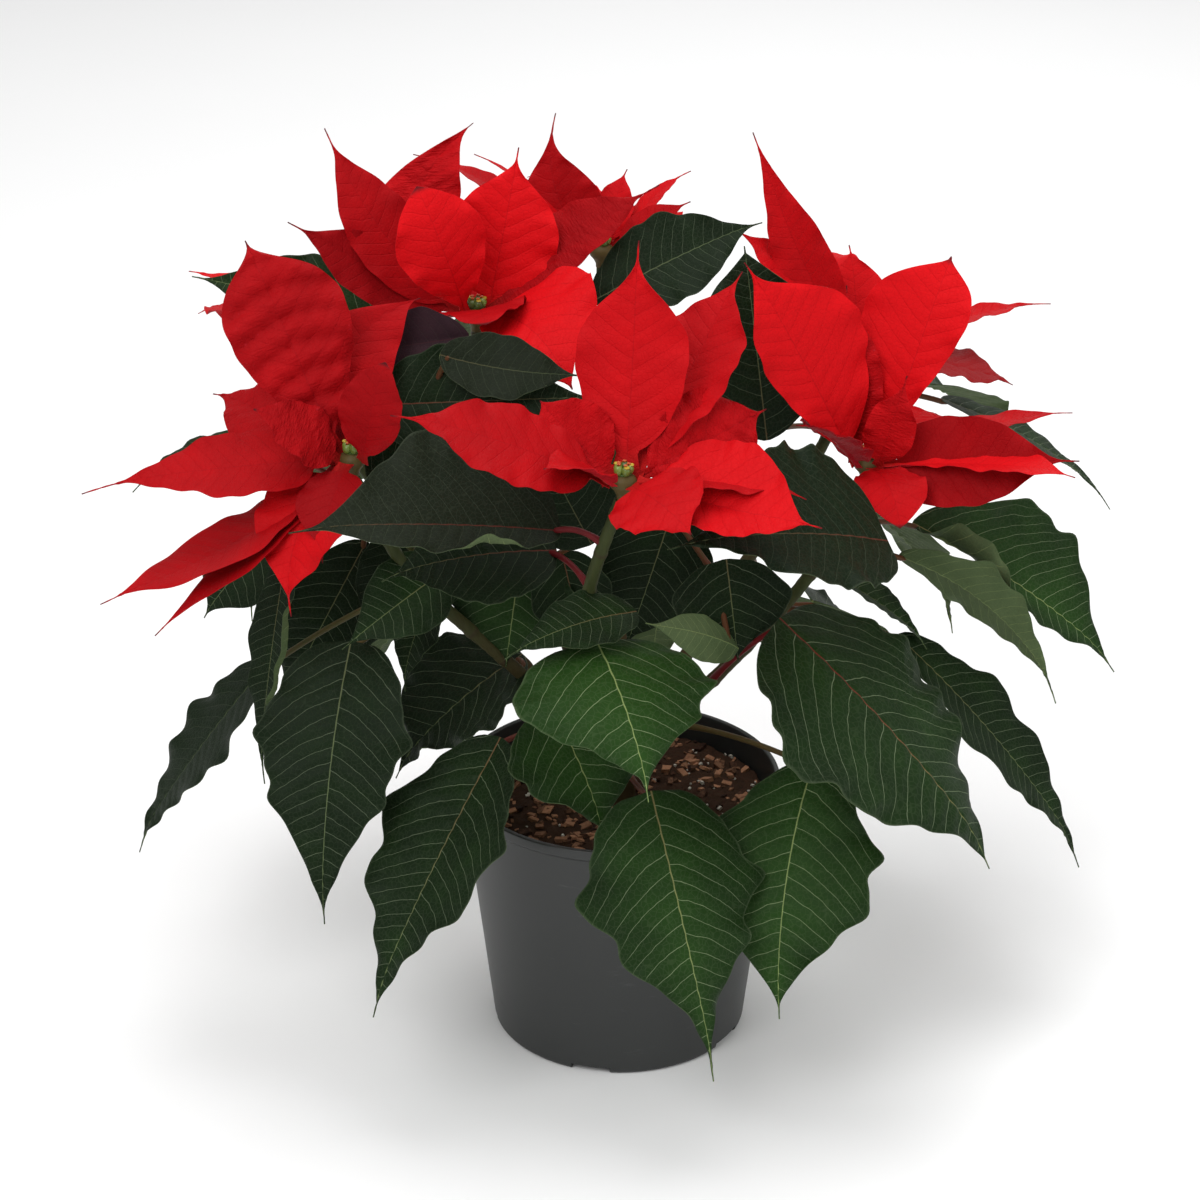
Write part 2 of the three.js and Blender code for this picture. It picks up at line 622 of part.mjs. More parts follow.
// The filling: a crumbled top, a side that follows the pot's wall, and room for the trunk.
function soilSolid() {
  const random = randomRun(7);
  const room = gap * 2;
  const points = [[0, 0, soilTop]];
  for (let i = 1; i <= soilRings; i += 1) {
    const share = i / soilRings;
    const loose = i < soilRings ? 1 : 0;
    for (let j = 0; j < soilSides; j += 1) {
      const angle = 2 * Math.PI * (j + loose * (random() - 0.5) / 2) / soilSides;
      const crumb = loose ? soilRelief * (2 * random() - 1) : -1;
      const radius = (potInner(soilTop - soilDome) - room) * share;
      const z = soilTop + crumb + soilDome * (1 - share * share);
      points.push([radius * Math.cos(angle), radius * Math.sin(angle), z]);
    }
  }
  const low = points.length;
  for (let j = 0; j < soilSides; j += 1) {
    const angle = 2 * Math.PI * j / soilSides;
    const radius = potInner(potFloor) - room;
    points.push([radius * Math.cos(angle), radius * Math.sin(angle), potFloor + gap]);
  }
  points.push([0, 0, potFloor + gap]);
  const index = [];
  for (let j = 0; j < soilSides; j += 1) {
    const next = (j + 1) % soilSides;
    index.push(0, 1 + j, 1 + next);
    for (let i = 0; i < soilRings; i += 1) {
      const [inner, outer] = [1 + i * soilSides, 1 + (i + 1) * soilSides];
      index.push(inner + j, outer + j, outer + next, inner + j, outer + next, inner + next);
    }
    index.push(low + j, points.length - 1, low + next);
  }
  const geometry = new THREE.BufferGeometry();
  geometry.setAttribute('position', new THREE.Float32BufferAttribute(points.flat(), 3));
  geometry.setIndex(index);
  return toSolid(geometry).subtract(stemSolid(gap));
}

const group = new THREE.Group();
function addNode(name, solid, material) {
  const mesh = new THREE.Mesh(toGeometry(solid), material);
  mesh.name = name;
  group.add(mesh);
}

addNode('pot', potSolid(), potPlastic);
addNode('soil', soilSolid(), soilBrown);
addNode('stems', stemSolid(0), stemGreen);
for (const [name, leaf] of Object.entries(leaves)) {
  addNode(`leaf_${name}`, leafSolid(leaf), leafGreen);
}
for (const [name, shoot] of Object.entries(shoots)) {
  addNode(`shoot_${name}`, shootSolid(shoot), leafGreen);
}
for (const [name, bloom] of Object.entries(blooms)) {
  addNode(`bloom_${name}`, bloomSolid(bloom), bractRed);
  addNode(`cyathia_${name}`, cyathiaSolid(bloom), budGreen);
}

export default group;
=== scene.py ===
# A poinsettia in its nursery pot: leaves, bracts, flowers, stems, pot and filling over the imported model.
# Sizes are in millimetres, except for the camera, the lights and the floor, which are in metres.
import math

import bpy
import numpy as np
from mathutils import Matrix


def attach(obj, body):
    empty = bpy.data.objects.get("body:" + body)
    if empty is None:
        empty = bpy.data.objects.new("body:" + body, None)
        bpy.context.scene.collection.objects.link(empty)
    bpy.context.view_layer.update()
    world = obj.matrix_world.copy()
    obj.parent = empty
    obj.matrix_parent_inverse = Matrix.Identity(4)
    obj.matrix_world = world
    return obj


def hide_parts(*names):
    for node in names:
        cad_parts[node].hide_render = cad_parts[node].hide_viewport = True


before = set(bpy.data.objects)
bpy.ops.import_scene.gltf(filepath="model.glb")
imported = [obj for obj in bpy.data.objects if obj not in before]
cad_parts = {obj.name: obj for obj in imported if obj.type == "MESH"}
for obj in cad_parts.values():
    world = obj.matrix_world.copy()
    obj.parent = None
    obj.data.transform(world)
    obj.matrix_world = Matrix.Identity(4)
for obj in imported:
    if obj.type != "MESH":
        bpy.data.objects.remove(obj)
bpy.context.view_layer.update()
mm = 0.001
print("frame:", len(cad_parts), "nodes")


camera = {"at": (0.0, -1.138, 0.719), "down": 25.02, "turn": 0.40, "lens": 95.46, "sensor": 36.0,
          "near": 0.05, "far": 30.0}
lights = {
    "window": {"at": (-0.7, -1.3, 1.6), "size": 1.2, "watts": 20.0},
    "fill": {"at": (1.3, -0.9, 0.9), "size": 1.4, "watts": 5.0},
    "top": {"at": (0.1, 0.1, 1.8), "size": 1.1, "watts": 14.0},
    "behind": {"at": (0.3, 1.6, 1.1), "size": 1.2, "watts": 5.0},
}
backdrop = {"size": 6.0, "colours": ((0.9, 0.9, 0.9), (0.88, 0.88, 0.88)), "sky": 0.62, "lit": (0, 0, 0.2)}


def aimAt(thing, place, target):
    # turns the thing's -Z axis from its place towards the target
    thing.location = place
    direction = [b - a for a, b in zip(place, target)]
    flat = math.hypot(direction[0], direction[1])
    thing.rotation_euler = (math.atan2(flat, -direction[2]), 0, math.atan2(-direction[0], direction[1]))


def makeStudio():
    # the camera, the round lights that face the plant, and an even sky
    scene = bpy.context.scene
    lens = bpy.data.cameras.new("camera")
    lens.lens, lens.sensor_width = camera["lens"], camera["sensor"]
    lens.clip_start, lens.clip_end = camera["near"], camera["far"]
    eye = bpy.data.objects.new("camera", lens)
    eye.location = camera["at"]
    eye.rotation_euler = (math.radians(90 - camera["down"]), 0, math.radians(camera["turn"]))
    scene.collection.objects.link(eye)
    scene.camera = eye
    for name, light in lights.items():
        lamp = bpy.data.lights.new(name, "AREA")
        lamp.shape, lamp.size, lamp.energy = "DISK", light["size"], light["watts"]
        holder = bpy.data.objects.new(name, lamp)
        aimAt(holder, light["at"], backdrop["lit"])
        scene.collection.objects.link(holder)
    world = bpy.data.worlds.new("studio")
    world.use_nodes = True
    sky = world.node_tree.nodes["Background"]
    sky.inputs["Color"].default_value = (1, 1, 1, 1)
    sky.inputs["Strength"].default_value = backdrop["sky"]
    scene.world = world
    scene.view_settings.view_transform = "Standard"
    scene.view_settings.look = "None"


makeStudio()
print("studio ready")


class Value:
    # one shader socket: + - * / and abs() on it add Math nodes
    def __init__(self, skin, node, output=0):
        self.skin, self.node = skin, node
        self.socket = node.outputs[output] if node.outputs else None

    def other(self, output):
        return Value(self.skin, self.node, output)

    def math(self, operation, *others):
        return self.skin.math(operation, self, *others)

    def __add__(self, b):
        return self.math("ADD", b)

    def __sub__(self, b):
        return self.math("SUBTRACT", b)

    def __mul__(self, b):
        return self.math("MULTIPLY", b)

    def __truediv__(self, b):
        return self.math("DIVIDE", b)

    def __rsub__(self, a):
        return self.skin.math("SUBTRACT", a, self)

    def __rtruediv__(self, a):
        return self.skin.math("DIVIDE", a, self)

    def __abs__(self):
        return self.math("ABSOLUTE")

    __radd__ = __add__
    __rmul__ = __mul__


class Skin:
    # one material; add() makes any node from its type, its settings and its sockets' values or links
    def __init__(self, name):
        self.material = bpy.data.materials.new(name)
        self.material.use_nodes = True
        self.tree = self.material.node_tree
        self.tree.nodes.clear()

    def add(self, kind, settings=None, sockets=None, output=0):
        node = self.tree.nodes.new(kind)
        for key, value in (settings or {}).items():
            setattr(node, key, value)
        for key, value in (sockets or {}).items():
            if isinstance(value, Value):
                self.tree.links.new(value.socket, node.inputs[key])
            else:
                node.inputs[key].default_value = value
        return Value(self, node, output)

    def math(self, operation, *values):
        return self.add("ShaderNodeMath", {"operation": operation}, dict(enumerate(values)))

    def parts(self, vector):
        split = self.add("ShaderNodeSeparateXYZ", {}, {0: vector})
        return split, split.other(1), split.other(2)

    def attribute(self, name):
        # the three numbers of one of the mesh's own vectors
        return self.parts(self.add("ShaderNodeAttribute", {"attribute_name": name}, output="Vector"))

    def joined(self, x, y, z=0.0):
        return self.add("ShaderNodeCombineXYZ", {}, {0: x, 1: y, 2: z})

    def place(self):
        return self.add("ShaderNodeTexCoord", output="Object")

    def noise(self, vector, scale, detail=3.0, rough=0.55):
        sockets = {"Vector": vector, "Scale": scale, "Detail": detail, "Roughness": rough}
        return self.add("ShaderNodeTexNoise", {}, sockets)

    def cells(self, vector, scale):
        settings = {"feature": "DISTANCE_TO_EDGE"}
        return self.add("ShaderNodeTexVoronoi", settings, {"Vector": vector, "Scale": scale})

    def ramp(self, value, low, high, start=0.0, end=1.0):
        # from start at low to end at high, smoothly
        sockets = {0: value, 1: low, 2: high, 3: start, 4: end}
        return self.add("ShaderNodeMapRange", {"interpolation_type": "SMOOTHSTEP"}, sockets)

    def mix(self, share, a, b):
        a, b = (colour + (1.0,) if isinstance(colour, tuple) else colour for colour in (a, b))
        return self.add("ShaderNodeMix", {"data_type": "RGBA"}, {0: share, 6: a, 7: b}, output=2)

    def layers(self, colour, *coats):
        # coats of colour laid one over the other, each by its own share
        for share, coat in coats:
            colour = self.mix(share, colour, coat)
        return colour

    def finish(self, colour, roughness, height=None, bump=0, depth=0, specular=0.5):
        # the surface shader; a height gives a relief with this share and depth in metres
        sockets = {"Base Color": colour, "Roughness": roughness, "Specular IOR Level": specular}
        if height:
            relief = {"Height": height, "Strength": bump, "Distance": depth}
            sockets["Normal"] = self.add("ShaderNodeBump", {}, relief)
        surface = self.add("ShaderNodeBsdfPrincipled", {}, sockets)
        self.add("ShaderNodeOutputMaterial", {}, {"Surface": surface})
        return self.material


def nearestLine(rank):
    # distance from a rank to the nearest whole number
    return abs((rank + 0.5).math("FRACT") - 0.5)


# gap between side veins in millimetres, how they crowd, lean and bend to the tip, and half their width
leafVeins = {"gap": 8.4, "crowd": 0.30, "lean": 0.40, "bend": 0.014, "half": 0.03, "edge": 0.22}
bractVeins = {"gap": 8.0, "crowd": 0.2, "lean": 0.62, "bend": 0.010, "half": 0.08, "edge": 0.50}


def veinMasks(skin, rule):
    # masks of a blade's midrib, side veins and fine net, from its own places across (x) and along (y):
    # side veins run where (y - lean x - bend x^2)(1 + crowd t) / gap is near a whole number
    x, y, under = skin.attribute("place")
    t, s, seed = skin.attribute("share")
    flat = skin.joined(x, y, seed * 40.0)
    wobble = skin.noise(flat, 0.09, detail=2.0) - 0.5
    left = x.math("LESS_THAN", 0.0)
    far = abs(x)
    rise = y - far * rule["lean"] - far * far * rule["bend"]
    rank = rise * (1.0 + t * rule["crowd"]) / rule["gap"] + left * 0.46 + wobble * 0.5 + seed
    distance = nearestLine(rank) * rule["gap"] * 0.85
    fade = skin.ramp(abs(s), 0.80, 0.97, 1.0, 0.25)
    side = skin.ramp(distance, rule["half"], rule["edge"], 1.0, 0.0) * fade
    rib = 1.0 - skin.ramp(far, (1.0 - t) * 0.16 + 0.04, (1.0 - t) * 0.30 + 0.18)
    net = skin.ramp(skin.cells(flat, 0.5), 0.015, 0.10, 1.0, 0.0)
    return {"x": x, "y": y, "t": t, "s": s, "under": under, "flat": flat,
            "side": side, "rib": rib, "net": net}


# colours are linear, and a pair of them is a range
leafColours = {
    "top": ((0.0040, 0.0092, 0.0032), (0.019, 0.058, 0.0085)),
    "speck": (0.013, 0.026, 0.009),
    "veins": ((0.12, 0.15, 0.095), (0.26, 0.34, 0.17)),
    "rib": ((0.10, 0.13, 0.06), (0.24, 0.31, 0.11)),
    "redRib": (0.16, 0.026, 0.020),
    "purple": ((0.014, 0.0055, 0.0095), (0.042, 0.015, 0.022)),
    "below": ((0.055, 0.085, 0.036), (0.105, 0.145, 0.065)),
    "belowNet": (0.12, 0.17, 0.07),
    "belowVeins": (0.22, 0.28, 0.11),
    "belowPurple": (0.07, 0.022, 0.03),
}


def makeLeafSkin():
    # satin green with pale veins; the look says how fresh the green is (partly painted shade), how red the
    # rib and how purple all is
    skin = Skin("leafSatin")
    colours = leafColours
    v = veinMasks(skin, leafVeins)
    toneAndShade, red, purple = skin.attribute("look")
    cloud = skin.noise(v["flat"], 0.05)
    speck = skin.noise(v["flat"], 1.2, detail=4.0)
    # a low tone gives a darker green, partly painted shade for leaves that lie in shade
    fresh = skin.ramp(toneAndShade + (cloud - 0.5) * 0.5 - abs(v["s"]) * toneAndShade * 0.5 + toneAndShade * 0.3, 0.0, 1.0)
    plain = skin.ramp(toneAndShade, 0.0, 0.12, 0.25, 1.0)
    pale = skin.mix(fresh, *colours["veins"])
    ribRed = skin.ramp(red * (1.25 - v["t"]), 0.1, 0.8)
    rib = skin.mix(ribRed, skin.mix(fresh, *colours["rib"]), colours["redRib"])
    top = skin.layers(
        skin.mix(fresh, *colours["top"]),
        (speck * 0.3, colours["speck"]),
        (v["net"] * 0.055, pale),
        (v["side"] * plain * 0.78, pale),
        (v["rib"] * (plain * 0.5 + 0.35), rib),
        (skin.ramp(abs(v["s"]), 0.965, 0.995) * 0.15, pale),
        (purple, skin.mix(cloud, *colours["purple"])))
    below = skin.layers(
        skin.mix(cloud, *colours["below"]),
        (v["net"] * 0.3, colours["belowNet"]),
        (v["side"].math("MAXIMUM", v["rib"]) * 0.8, colours["belowVeins"]),
        (purple * 0.7, colours["belowPurple"]))
    roughness = 0.42 + speck * 0.14 + v["under"] * 0.15 + purple * 0.1
    height = v["side"] * -0.6 + v["net"] * -0.22 + speck * 0.25
    colour = skin.mix(v["under"], top, below)
    return skin.finish(colour, roughness, height, bump=0.45, depth=0.0006, specular=0.07)


bractColours = {
    "top": ((0.23, 0.0012, 0.0030), (0.60, 0.0036, 0.0066)),
    "grain": (0.34, 0.001, 0.003),
    "net": (0.20, 0.001, 0.003),
    "veins": (0.18, 0.001, 0.003),
    "rib": (0.20, 0.002, 0.005),
    "foot": (0.20, 0.010, 0.006),
    "end": (0.035, 0.008, 0.010),
    "below": ((0.30, 0.0045, 0.0095), (0.50, 0.012, 0.018)),
    "belowVeins": (0.28, 0.004, 0.010),
    "belowRib": (0.34, 0.045, 0.035),
}


def makeBractSkin():
    # velvet red with a darker foot and tip; the look says how bright the red is (partly painted shade) and
    # how crinkled
    skin = Skin("bractVelvet")
    colours = bractColours
    v = veinMasks(skin, bractVeins)
    toneAndShade, crinkle, unused = skin.attribute("look")
    cloud = skin.noise(v["flat"], 0.045)
    grain = skin.noise(v["flat"], 0.9, detail=4.0)
    # a low tone gives a deeper red, partly painted shade for bracts that lie in shade
    light = skin.ramp(toneAndShade + (cloud - 0.5) * 0.45, 0.0, 1.0)
    top = skin.layers(
        skin.mix(light, *colours["top"]),
        (grain * 0.2, colours["grain"]),
        (v["net"] * 0.06, colours["net"]),
        (v["side"] * 0.07, colours["veins"]),
        (v["rib"] * 0.22, colours["rib"]),
        (skin.ramp(v["t"], 0.0, 0.16, 1.0, 0.0) * 0.5, colours["foot"]),
        (skin.ramp(v["t"], 0.955, 0.995) * 0.85, colours["end"]))
    below = skin.layers(
        skin.mix(light, *colours["below"]),
        (v["side"] * 0.5, colours["belowVeins"]),
        (v["rib"] * 0.7, colours["belowRib"]))
    pulled = skin.joined(v["x"] * 0.10 + v["y"] * 0.05, v["y"] * 0.34)
    wrinkle = skin.noise(pulled, 1.0, detail=4.0, rough=0.6)
    wrinkle = abs(wrinkle - 0.5) * (crinkle * 5.0 + 0.5)
    height = v["side"] * -0.18 + v["net"] * -0.10 + grain * 0.14 + wrinkle
    colour = skin.mix(v["under"], top, below)
    return skin.finish(colour, 0.52 + grain * 0.16, height, bump=0.5, depth=0.0013, specular=0.07)


stalkColours = {"green": ((0.035, 0.050, 0.014), (0.080, 0.105, 0.030)),
                "wine": ((0.050, 0.005, 0.006), (0.15, 0.011, 0.013))}


def makeStalkSkin():
    # petioles: green to wine red by the leaf's own look, with fine streaks
    skin = Skin("stalk")
    red = skin.attribute("look")[1]
    x, y, unused = skin.attribute("place")
    streak = skin.noise(skin.joined(x * 3.0, y * 0.25), 1.0)
    green, wine = (skin.mix(streak, *stalkColours[name]) for name in ("green", "wine"))
    colour = skin.mix(skin.ramp(red + (streak - 0.5) * 0.4, 0.2, 0.8), green, wine)
    return skin.finish(colour, 0.45, streak, bump=0.25, depth=0.0005, specular=0.12)


stemColours = {"young": ((0.018, 0.024, 0.008), (0.050, 0.060, 0.020)),
               "old": ((0.030, 0.020, 0.009), (0.085, 0.058, 0.026)), "scar": (0.035, 0.022, 0.014)}


def makeStemSkin():
    # stems: brown and corky low down, green higher up, with dark scars
    skin = Skin("stem")
    place = skin.place()
    x, y, z = skin.parts(place)
    along, scar, unused = skin.attribute("look")
    streak = skin.noise(skin.joined(x * 400.0, y * 400.0, z * 60.0), 1.0)
    blotch = skin.noise(place, 90.0)
    young, old = skin.mix(streak, *stemColours["young"]), skin.mix(blotch, *stemColours["old"])
    age = skin.ramp(along + (blotch - 0.5) * 0.5, 0.10, 0.75)
    colour = skin.layers(old, (age, young), (scar * 0.7, stemColours["scar"]))
    return skin.finish(colour, 0.55, streak * 0.6 + blotch * 0.6, bump=0.4, depth=0.0008, specular=0.1)


# the inside colour is painted shade: the inner wall and floor are the same plastic as the outside, made
# darker
potColours = {"outside": ((0.013, 0.0148, 0.014), (0.0225, 0.0245, 0.0235)), "scuff": (0.16, 0.165, 0.17),
              "inside": (0.007, 0.007, 0.007)}


def makePotSkin():
    # satin moulded plastic with a faint grain, soft scuffs and painted shade that darkens the inner wall and
    # floor
    skin = Skin("potPlastic")
    place = skin.place()
    # the look's first value marks the inner wall and floor, which are painted darker as shade
    inner = skin.attribute("look")[0]
    cloud = skin.noise(place, 14.0, detail=4.0)
    grain = skin.noise(place, 1400.0, detail=2.0)
    x, y, z = skin.parts(place)
    scuff = skin.noise(skin.joined(x * 60.0, y * 60.0, z * 260.0), 1.0, detail=4.0, rough=0.7)
    scuff = skin.ramp(scuff, 0.60, 0.78)
    colour = skin.layers(skin.mix(cloud, *potColours["outside"]),
                         (scuff * 0.18, potColours["scuff"]), (inner, potColours["inside"]))
    return skin.finish(colour, 0.40 + cloud * 0.10 + scuff * 0.15, grain + cloud, bump=0.12, depth=0.0004)


fillingColours = {"peat": ((0.009, 0.005, 0.003), (0.070, 0.034, 0.018)),
                  "bark": ((0.018, 0.008, 0.005), (0.36, 0.180, 0.100)),
                  "grain": ((0.36, 0.33, 0.27), (0.66, 0.63, 0.56))}


def makeSoilSkin():
    # the filling's own surface: dark peat
    skin = Skin("peat")
    lump = skin.noise(skin.place(), 260.0, detail=5.0, rough=0.7)
    colour = skin.mix(lump, *fillingColours["peat"])
    return skin.finish(colour, 0.92, lump, bump=0.8, depth=0.002, specular=0.15)


def makeCrumbSkin():
    # loose bits: bark or pale grains by each bit's own look
    skin = Skin("barkAndGrains")
    shade, grainy, unused = skin.attribute("look")
    fleck = skin.noise(skin.place(), 700.0)
    bark = skin.mix(skin.ramp(shade + (fleck - 0.5) * 0.6, 0.0, 1.0), *fillingColours["bark"])
    colour = skin.mix(grainy, bark, skin.mix(fleck, *fillingColours["grain"]))
    return skin.finish(colour, 0.88, fleck, bump=0.5, depth=0.001, specular=0.15)


flowerColours = {"cup": ((0.040, 0.075, 0.013), (0.14, 0.20, 0.030)),
                 "gland": ((0.32, 0.24, 0.015), (0.50, 0.39, 0.04)),
                 "stamen": ((0.35, 0.020, 0.010), (0.60, 0.16, 0.03))}


def makeFlowerSkin():
    # cyathia: green cups, yellow glands and red stamens where the look's first value is 0, 1 and 2
    skin = Skin("cyathium")
    kind, high, unused = skin.attribute("look")
    fleck = skin.noise(skin.place(), 900.0)
    colour = skin.layers(
        skin.mix(skin.ramp(high, 0.2, 1.0), *flowerColours["cup"]),
        (skin.ramp(kind, 0.2, 0.8), skin.mix(fleck, *flowerColours["gland"])),
        (skin.ramp(kind, 1.2, 1.8), skin.mix(fleck, *flowerColours["stamen"])))
    return skin.finish(colour, 0.38, fleck, bump=0.3, depth=0.0004)


skins = {
    "leaf": makeLeafSkin(),
    "bract": makeBractSkin(),
    "stalk": makeStalkSkin(),
    "stem": makeStemSkin(),
    "pot": makePotSkin(),
    "peat": makeSoilSkin(),
    "crumb": makeCrumbSkin(),
    "flower": makeFlowerSkin(),
}
print("finishes ready:", len(skins))


def unit(vectors):
    # vectors scaled to length 1 along the last axis
    return vectors / np.maximum(np.linalg.norm(vectors, axis=-1, keepdims=True), 1e-12)


def smooth(low, high, value):
    # 0 before low, 1 past high and 3u^2 - 2u^3 between; low may be the larger of the two
    u = np.clip((value - low) / (high - low), 0, 1)
    return u * u * (3 - 2 * u)


def curvePoint(points, shares):
    # centripetal Catmull-Rom curve: on each span the cubic from b to c with slopes m and n there, worked
    # out from the neighbours with knots at the square roots of the distances
    p = np.array(points, float)
    p = np.vstack([2 * p[0] - p[1], p, 2 * p[-1] - p[-2]])
    spans = len(p) - 3
    place = np.clip(np.asarray(shares, float), 0, 1) * spans
    span = np.minimum(place.astype(int), spans - 1)
    u = (place - span)[:, None]
    a, b, c, d = (p[span + k] for k in range(4))
    knot = [np.linalg.norm(q - r, axis=1, keepdims=True) ** 0.5 for q, r in ((b, a), (c, b), (d, c))]
    inward = (b - a) / knot[0] - (c - a) / (knot[0] + knot[1]) + (c - b) / knot[1]
    onward = (c - b) / knot[1] - (d - b) / (knot[1] + knot[2]) + (d - c) / knot[2]
    m, n = inward * knot[1], onward * knot[1]
    return b + m * u + (3 * (c - b) - 2 * m - n) * u ** 2 + (2 * (b - c) + m + n) * u ** 3


def shellFaces(rows, cols):
    # quads of a sheet with rows + 1 by cols + 1 points, of the same sheet turned over below it, and of
    # the four rims that close the two
    step, count = cols + 1, (rows + 1) * (cols + 1)
    left, first = np.arange(rows) * step, np.arange(cols)
    right, last = left + cols, first + rows * step
    corner = (left[:, None] + first[None, :]).ravel()
    sheet = np.stack([corner, corner + 1, corner + step + 1, corner + step], 1)
    rims = [
        (left, left + step, left + step + count, left + count),
        (right, right + count, right + step + count, right + step),
        (first, first + count, first + 1 + count, first + 1),
        (last, last + 1, last + 1 + count, last + count),
    ]
    return np.concatenate([sheet, sheet[:, ::-1] + count] + [np.stack(rim, 1) for rim in rims])


def runAlong(line):
    # way along a line to each of its points
    return np.concatenate([[0], np.cumsum(np.linalg.norm(np.diff(line, axis=0), axis=1))])


def ringFaces(count, sides):
    # quads between neighbouring rings of points, closed round each ring
    ring, side = np.meshgrid(np.arange(count - 1), np.arange(sides), indexing="ij")
    after = (side + 1) % sides
    low, high = ring * sides, (ring + 1) * sides
    return np.stack([low + side, low + after, high + after, high + side], -1).reshape(-1, 4)


def ringCaps(count, sides):
    # the first ring as a face that looks back, and the last as one that looks on
    return [list(range(sides))[::-1], list(range((count - 1) * sides, count * sides))]


def tubeShape(line, radii, sides):
    # rings round a line: each point moved by radius (cos a) along one normal and (sin a) along the other
    tangent = unit(np.gradient(line, axis=0))
    guide = np.eye(3)[np.argmin(np.abs(unit(line[-1] - line[0])))]
    right = unit(np.cross(tangent, guide))
    up = np.cross(right, tangent)
    angle = np.linspace(0, 2 * np.pi, sides, endpoint=False)[None, :, None]
    way = np.cos(angle) * right[:, None] + np.sin(angle) * up[:, None]
    rings = line[:, None] + np.asarray(radii)[:, None, None] * way
    first, last = ringCaps(len(line), sides)
    return rings.reshape(-1, 3), ringFaces(len(line), sides)[:, ::-1], [first[::-1], last[::-1]]


class Shape:
    # gathers points, faces, finishes and the three vector attributes of one piece, in millimetres
    def __init__(self):
        self.points, self.faces, self.skin = [], [], []
        self.values = {"place": [], "share": [], "look": []}
        self.count = 0

    def add(self, points, faces, skin=0, **values):
        points = np.asarray(points, float).reshape(-1, 3)
        self.faces += [[corner + self.count for corner in face] for face in faces]
        self.skin += [skin] * len(faces)
        for name, kept in self.values.items():
            kept.append(np.broadcast_to(np.asarray(values.get(name, (0, 0, 0)), float), points.shape))
        self.points.append(points)
        self.count += len(points)

    def piece(self, name, finishes, node, angle=None):
        # the gathered mesh as a smooth object, sharp at edges past the angle, standing for its CAD node
        mesh = bpy.data.meshes.new(name)
        mesh.from_pydata(np.concatenate(self.points) * mm, [], self.faces)
        for key, kept in self.values.items():
            values = mesh.attributes.new(key, "FLOAT_VECTOR", "POINT")
            values.data.foreach_set("vector", np.concatenate(kept).astype(np.float32).ravel())
        for finish in finishes:
            mesh.materials.append(skins[finish])
        mesh.polygons.foreach_set("material_index", np.array(self.skin, np.int32))
        mesh.polygons.foreach_set("use_smooth", np.ones(len(self.faces), bool))
        if angle:
            mesh.set_sharp_from_angle(angle=math.radians(angle))
        mesh.update()
        thing = bpy.data.objects.new(name, mesh)
        bpy.context.scene.collection.objects.link(thing)
        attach(thing, "root")
        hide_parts(node)
        return thing


# width at which the veins have their true scale, thickness inside and at the rim, least half width, grid
# spacing and height of each relief in millimetres, and from ripple on shares of the width or the length
leafBlade = {"even": 70, "thick": 0.5, "rim": 0.22, "tip": 0.25, "row": 1.35, "column": 2.2, "pillow": 0.40,
             "groove": 0.55, "rib": 0.7, "frill": 0.7, "ripple": 0.020, "valley": 0.16, "twist": 0.06,
             "droop": 0.05, "scallop": 0.022}
bractBlade = {"even": 40, "thick": 0.42, "rim": 0.2, "tip": 0.25, "row": 1.4, "column": 1.9, "pillow": 0.34,
              "groove": 0.45, "rib": 0.5, "frill": 0.4, "ripple": 0.030, "valley": 0.12, "twist": 0.08,
              "droop": 0.04, "scallop": 0.012}


def outline(t, widest=0.4, point=1.4, sudden=1, lobes=0, thread=0):
    # half width over the widest: sin(pi t^k) to a power that grows towards the tip, with two teeth a
    # side; t reaches 1 where the thread of the tip starts
    t = np.minimum(t / (1 - thread), 1)
    skew = math.log(0.5) / math.log(widest)
    body = np.clip(np.sin(np.pi * t ** skew), 0, 1) ** (0.6 + point * t ** sudden)
    teeth = np.exp(-((t - 0.37) / 0.07) ** 2) + 0.8 * np.exp(-((t - 0.6) / 0.06) ** 2)
    return body * (1 - lobes + 2 * lobes * teeth)


def rollMargin(x, edge, t, hand, first, last, amount, radius):
    # across and lift of a margin rolled on a circle of radius r: past the bend a point that lay a way w on
    # goes on by r sin(w / r) and rises by r - r cos(w / r)
    window = smooth(first, first + 0.15, t) * smooth(last, last - 0.15, t) * (np.sign(x) == hand)
    bend = np.maximum(np.abs(x) - (edge - amount * window), 0) / radius
    return np.sign(x) * (np.abs(x) - bend * radius + radius * np.sin(bend)), radius * (1 - np.cos(bend))


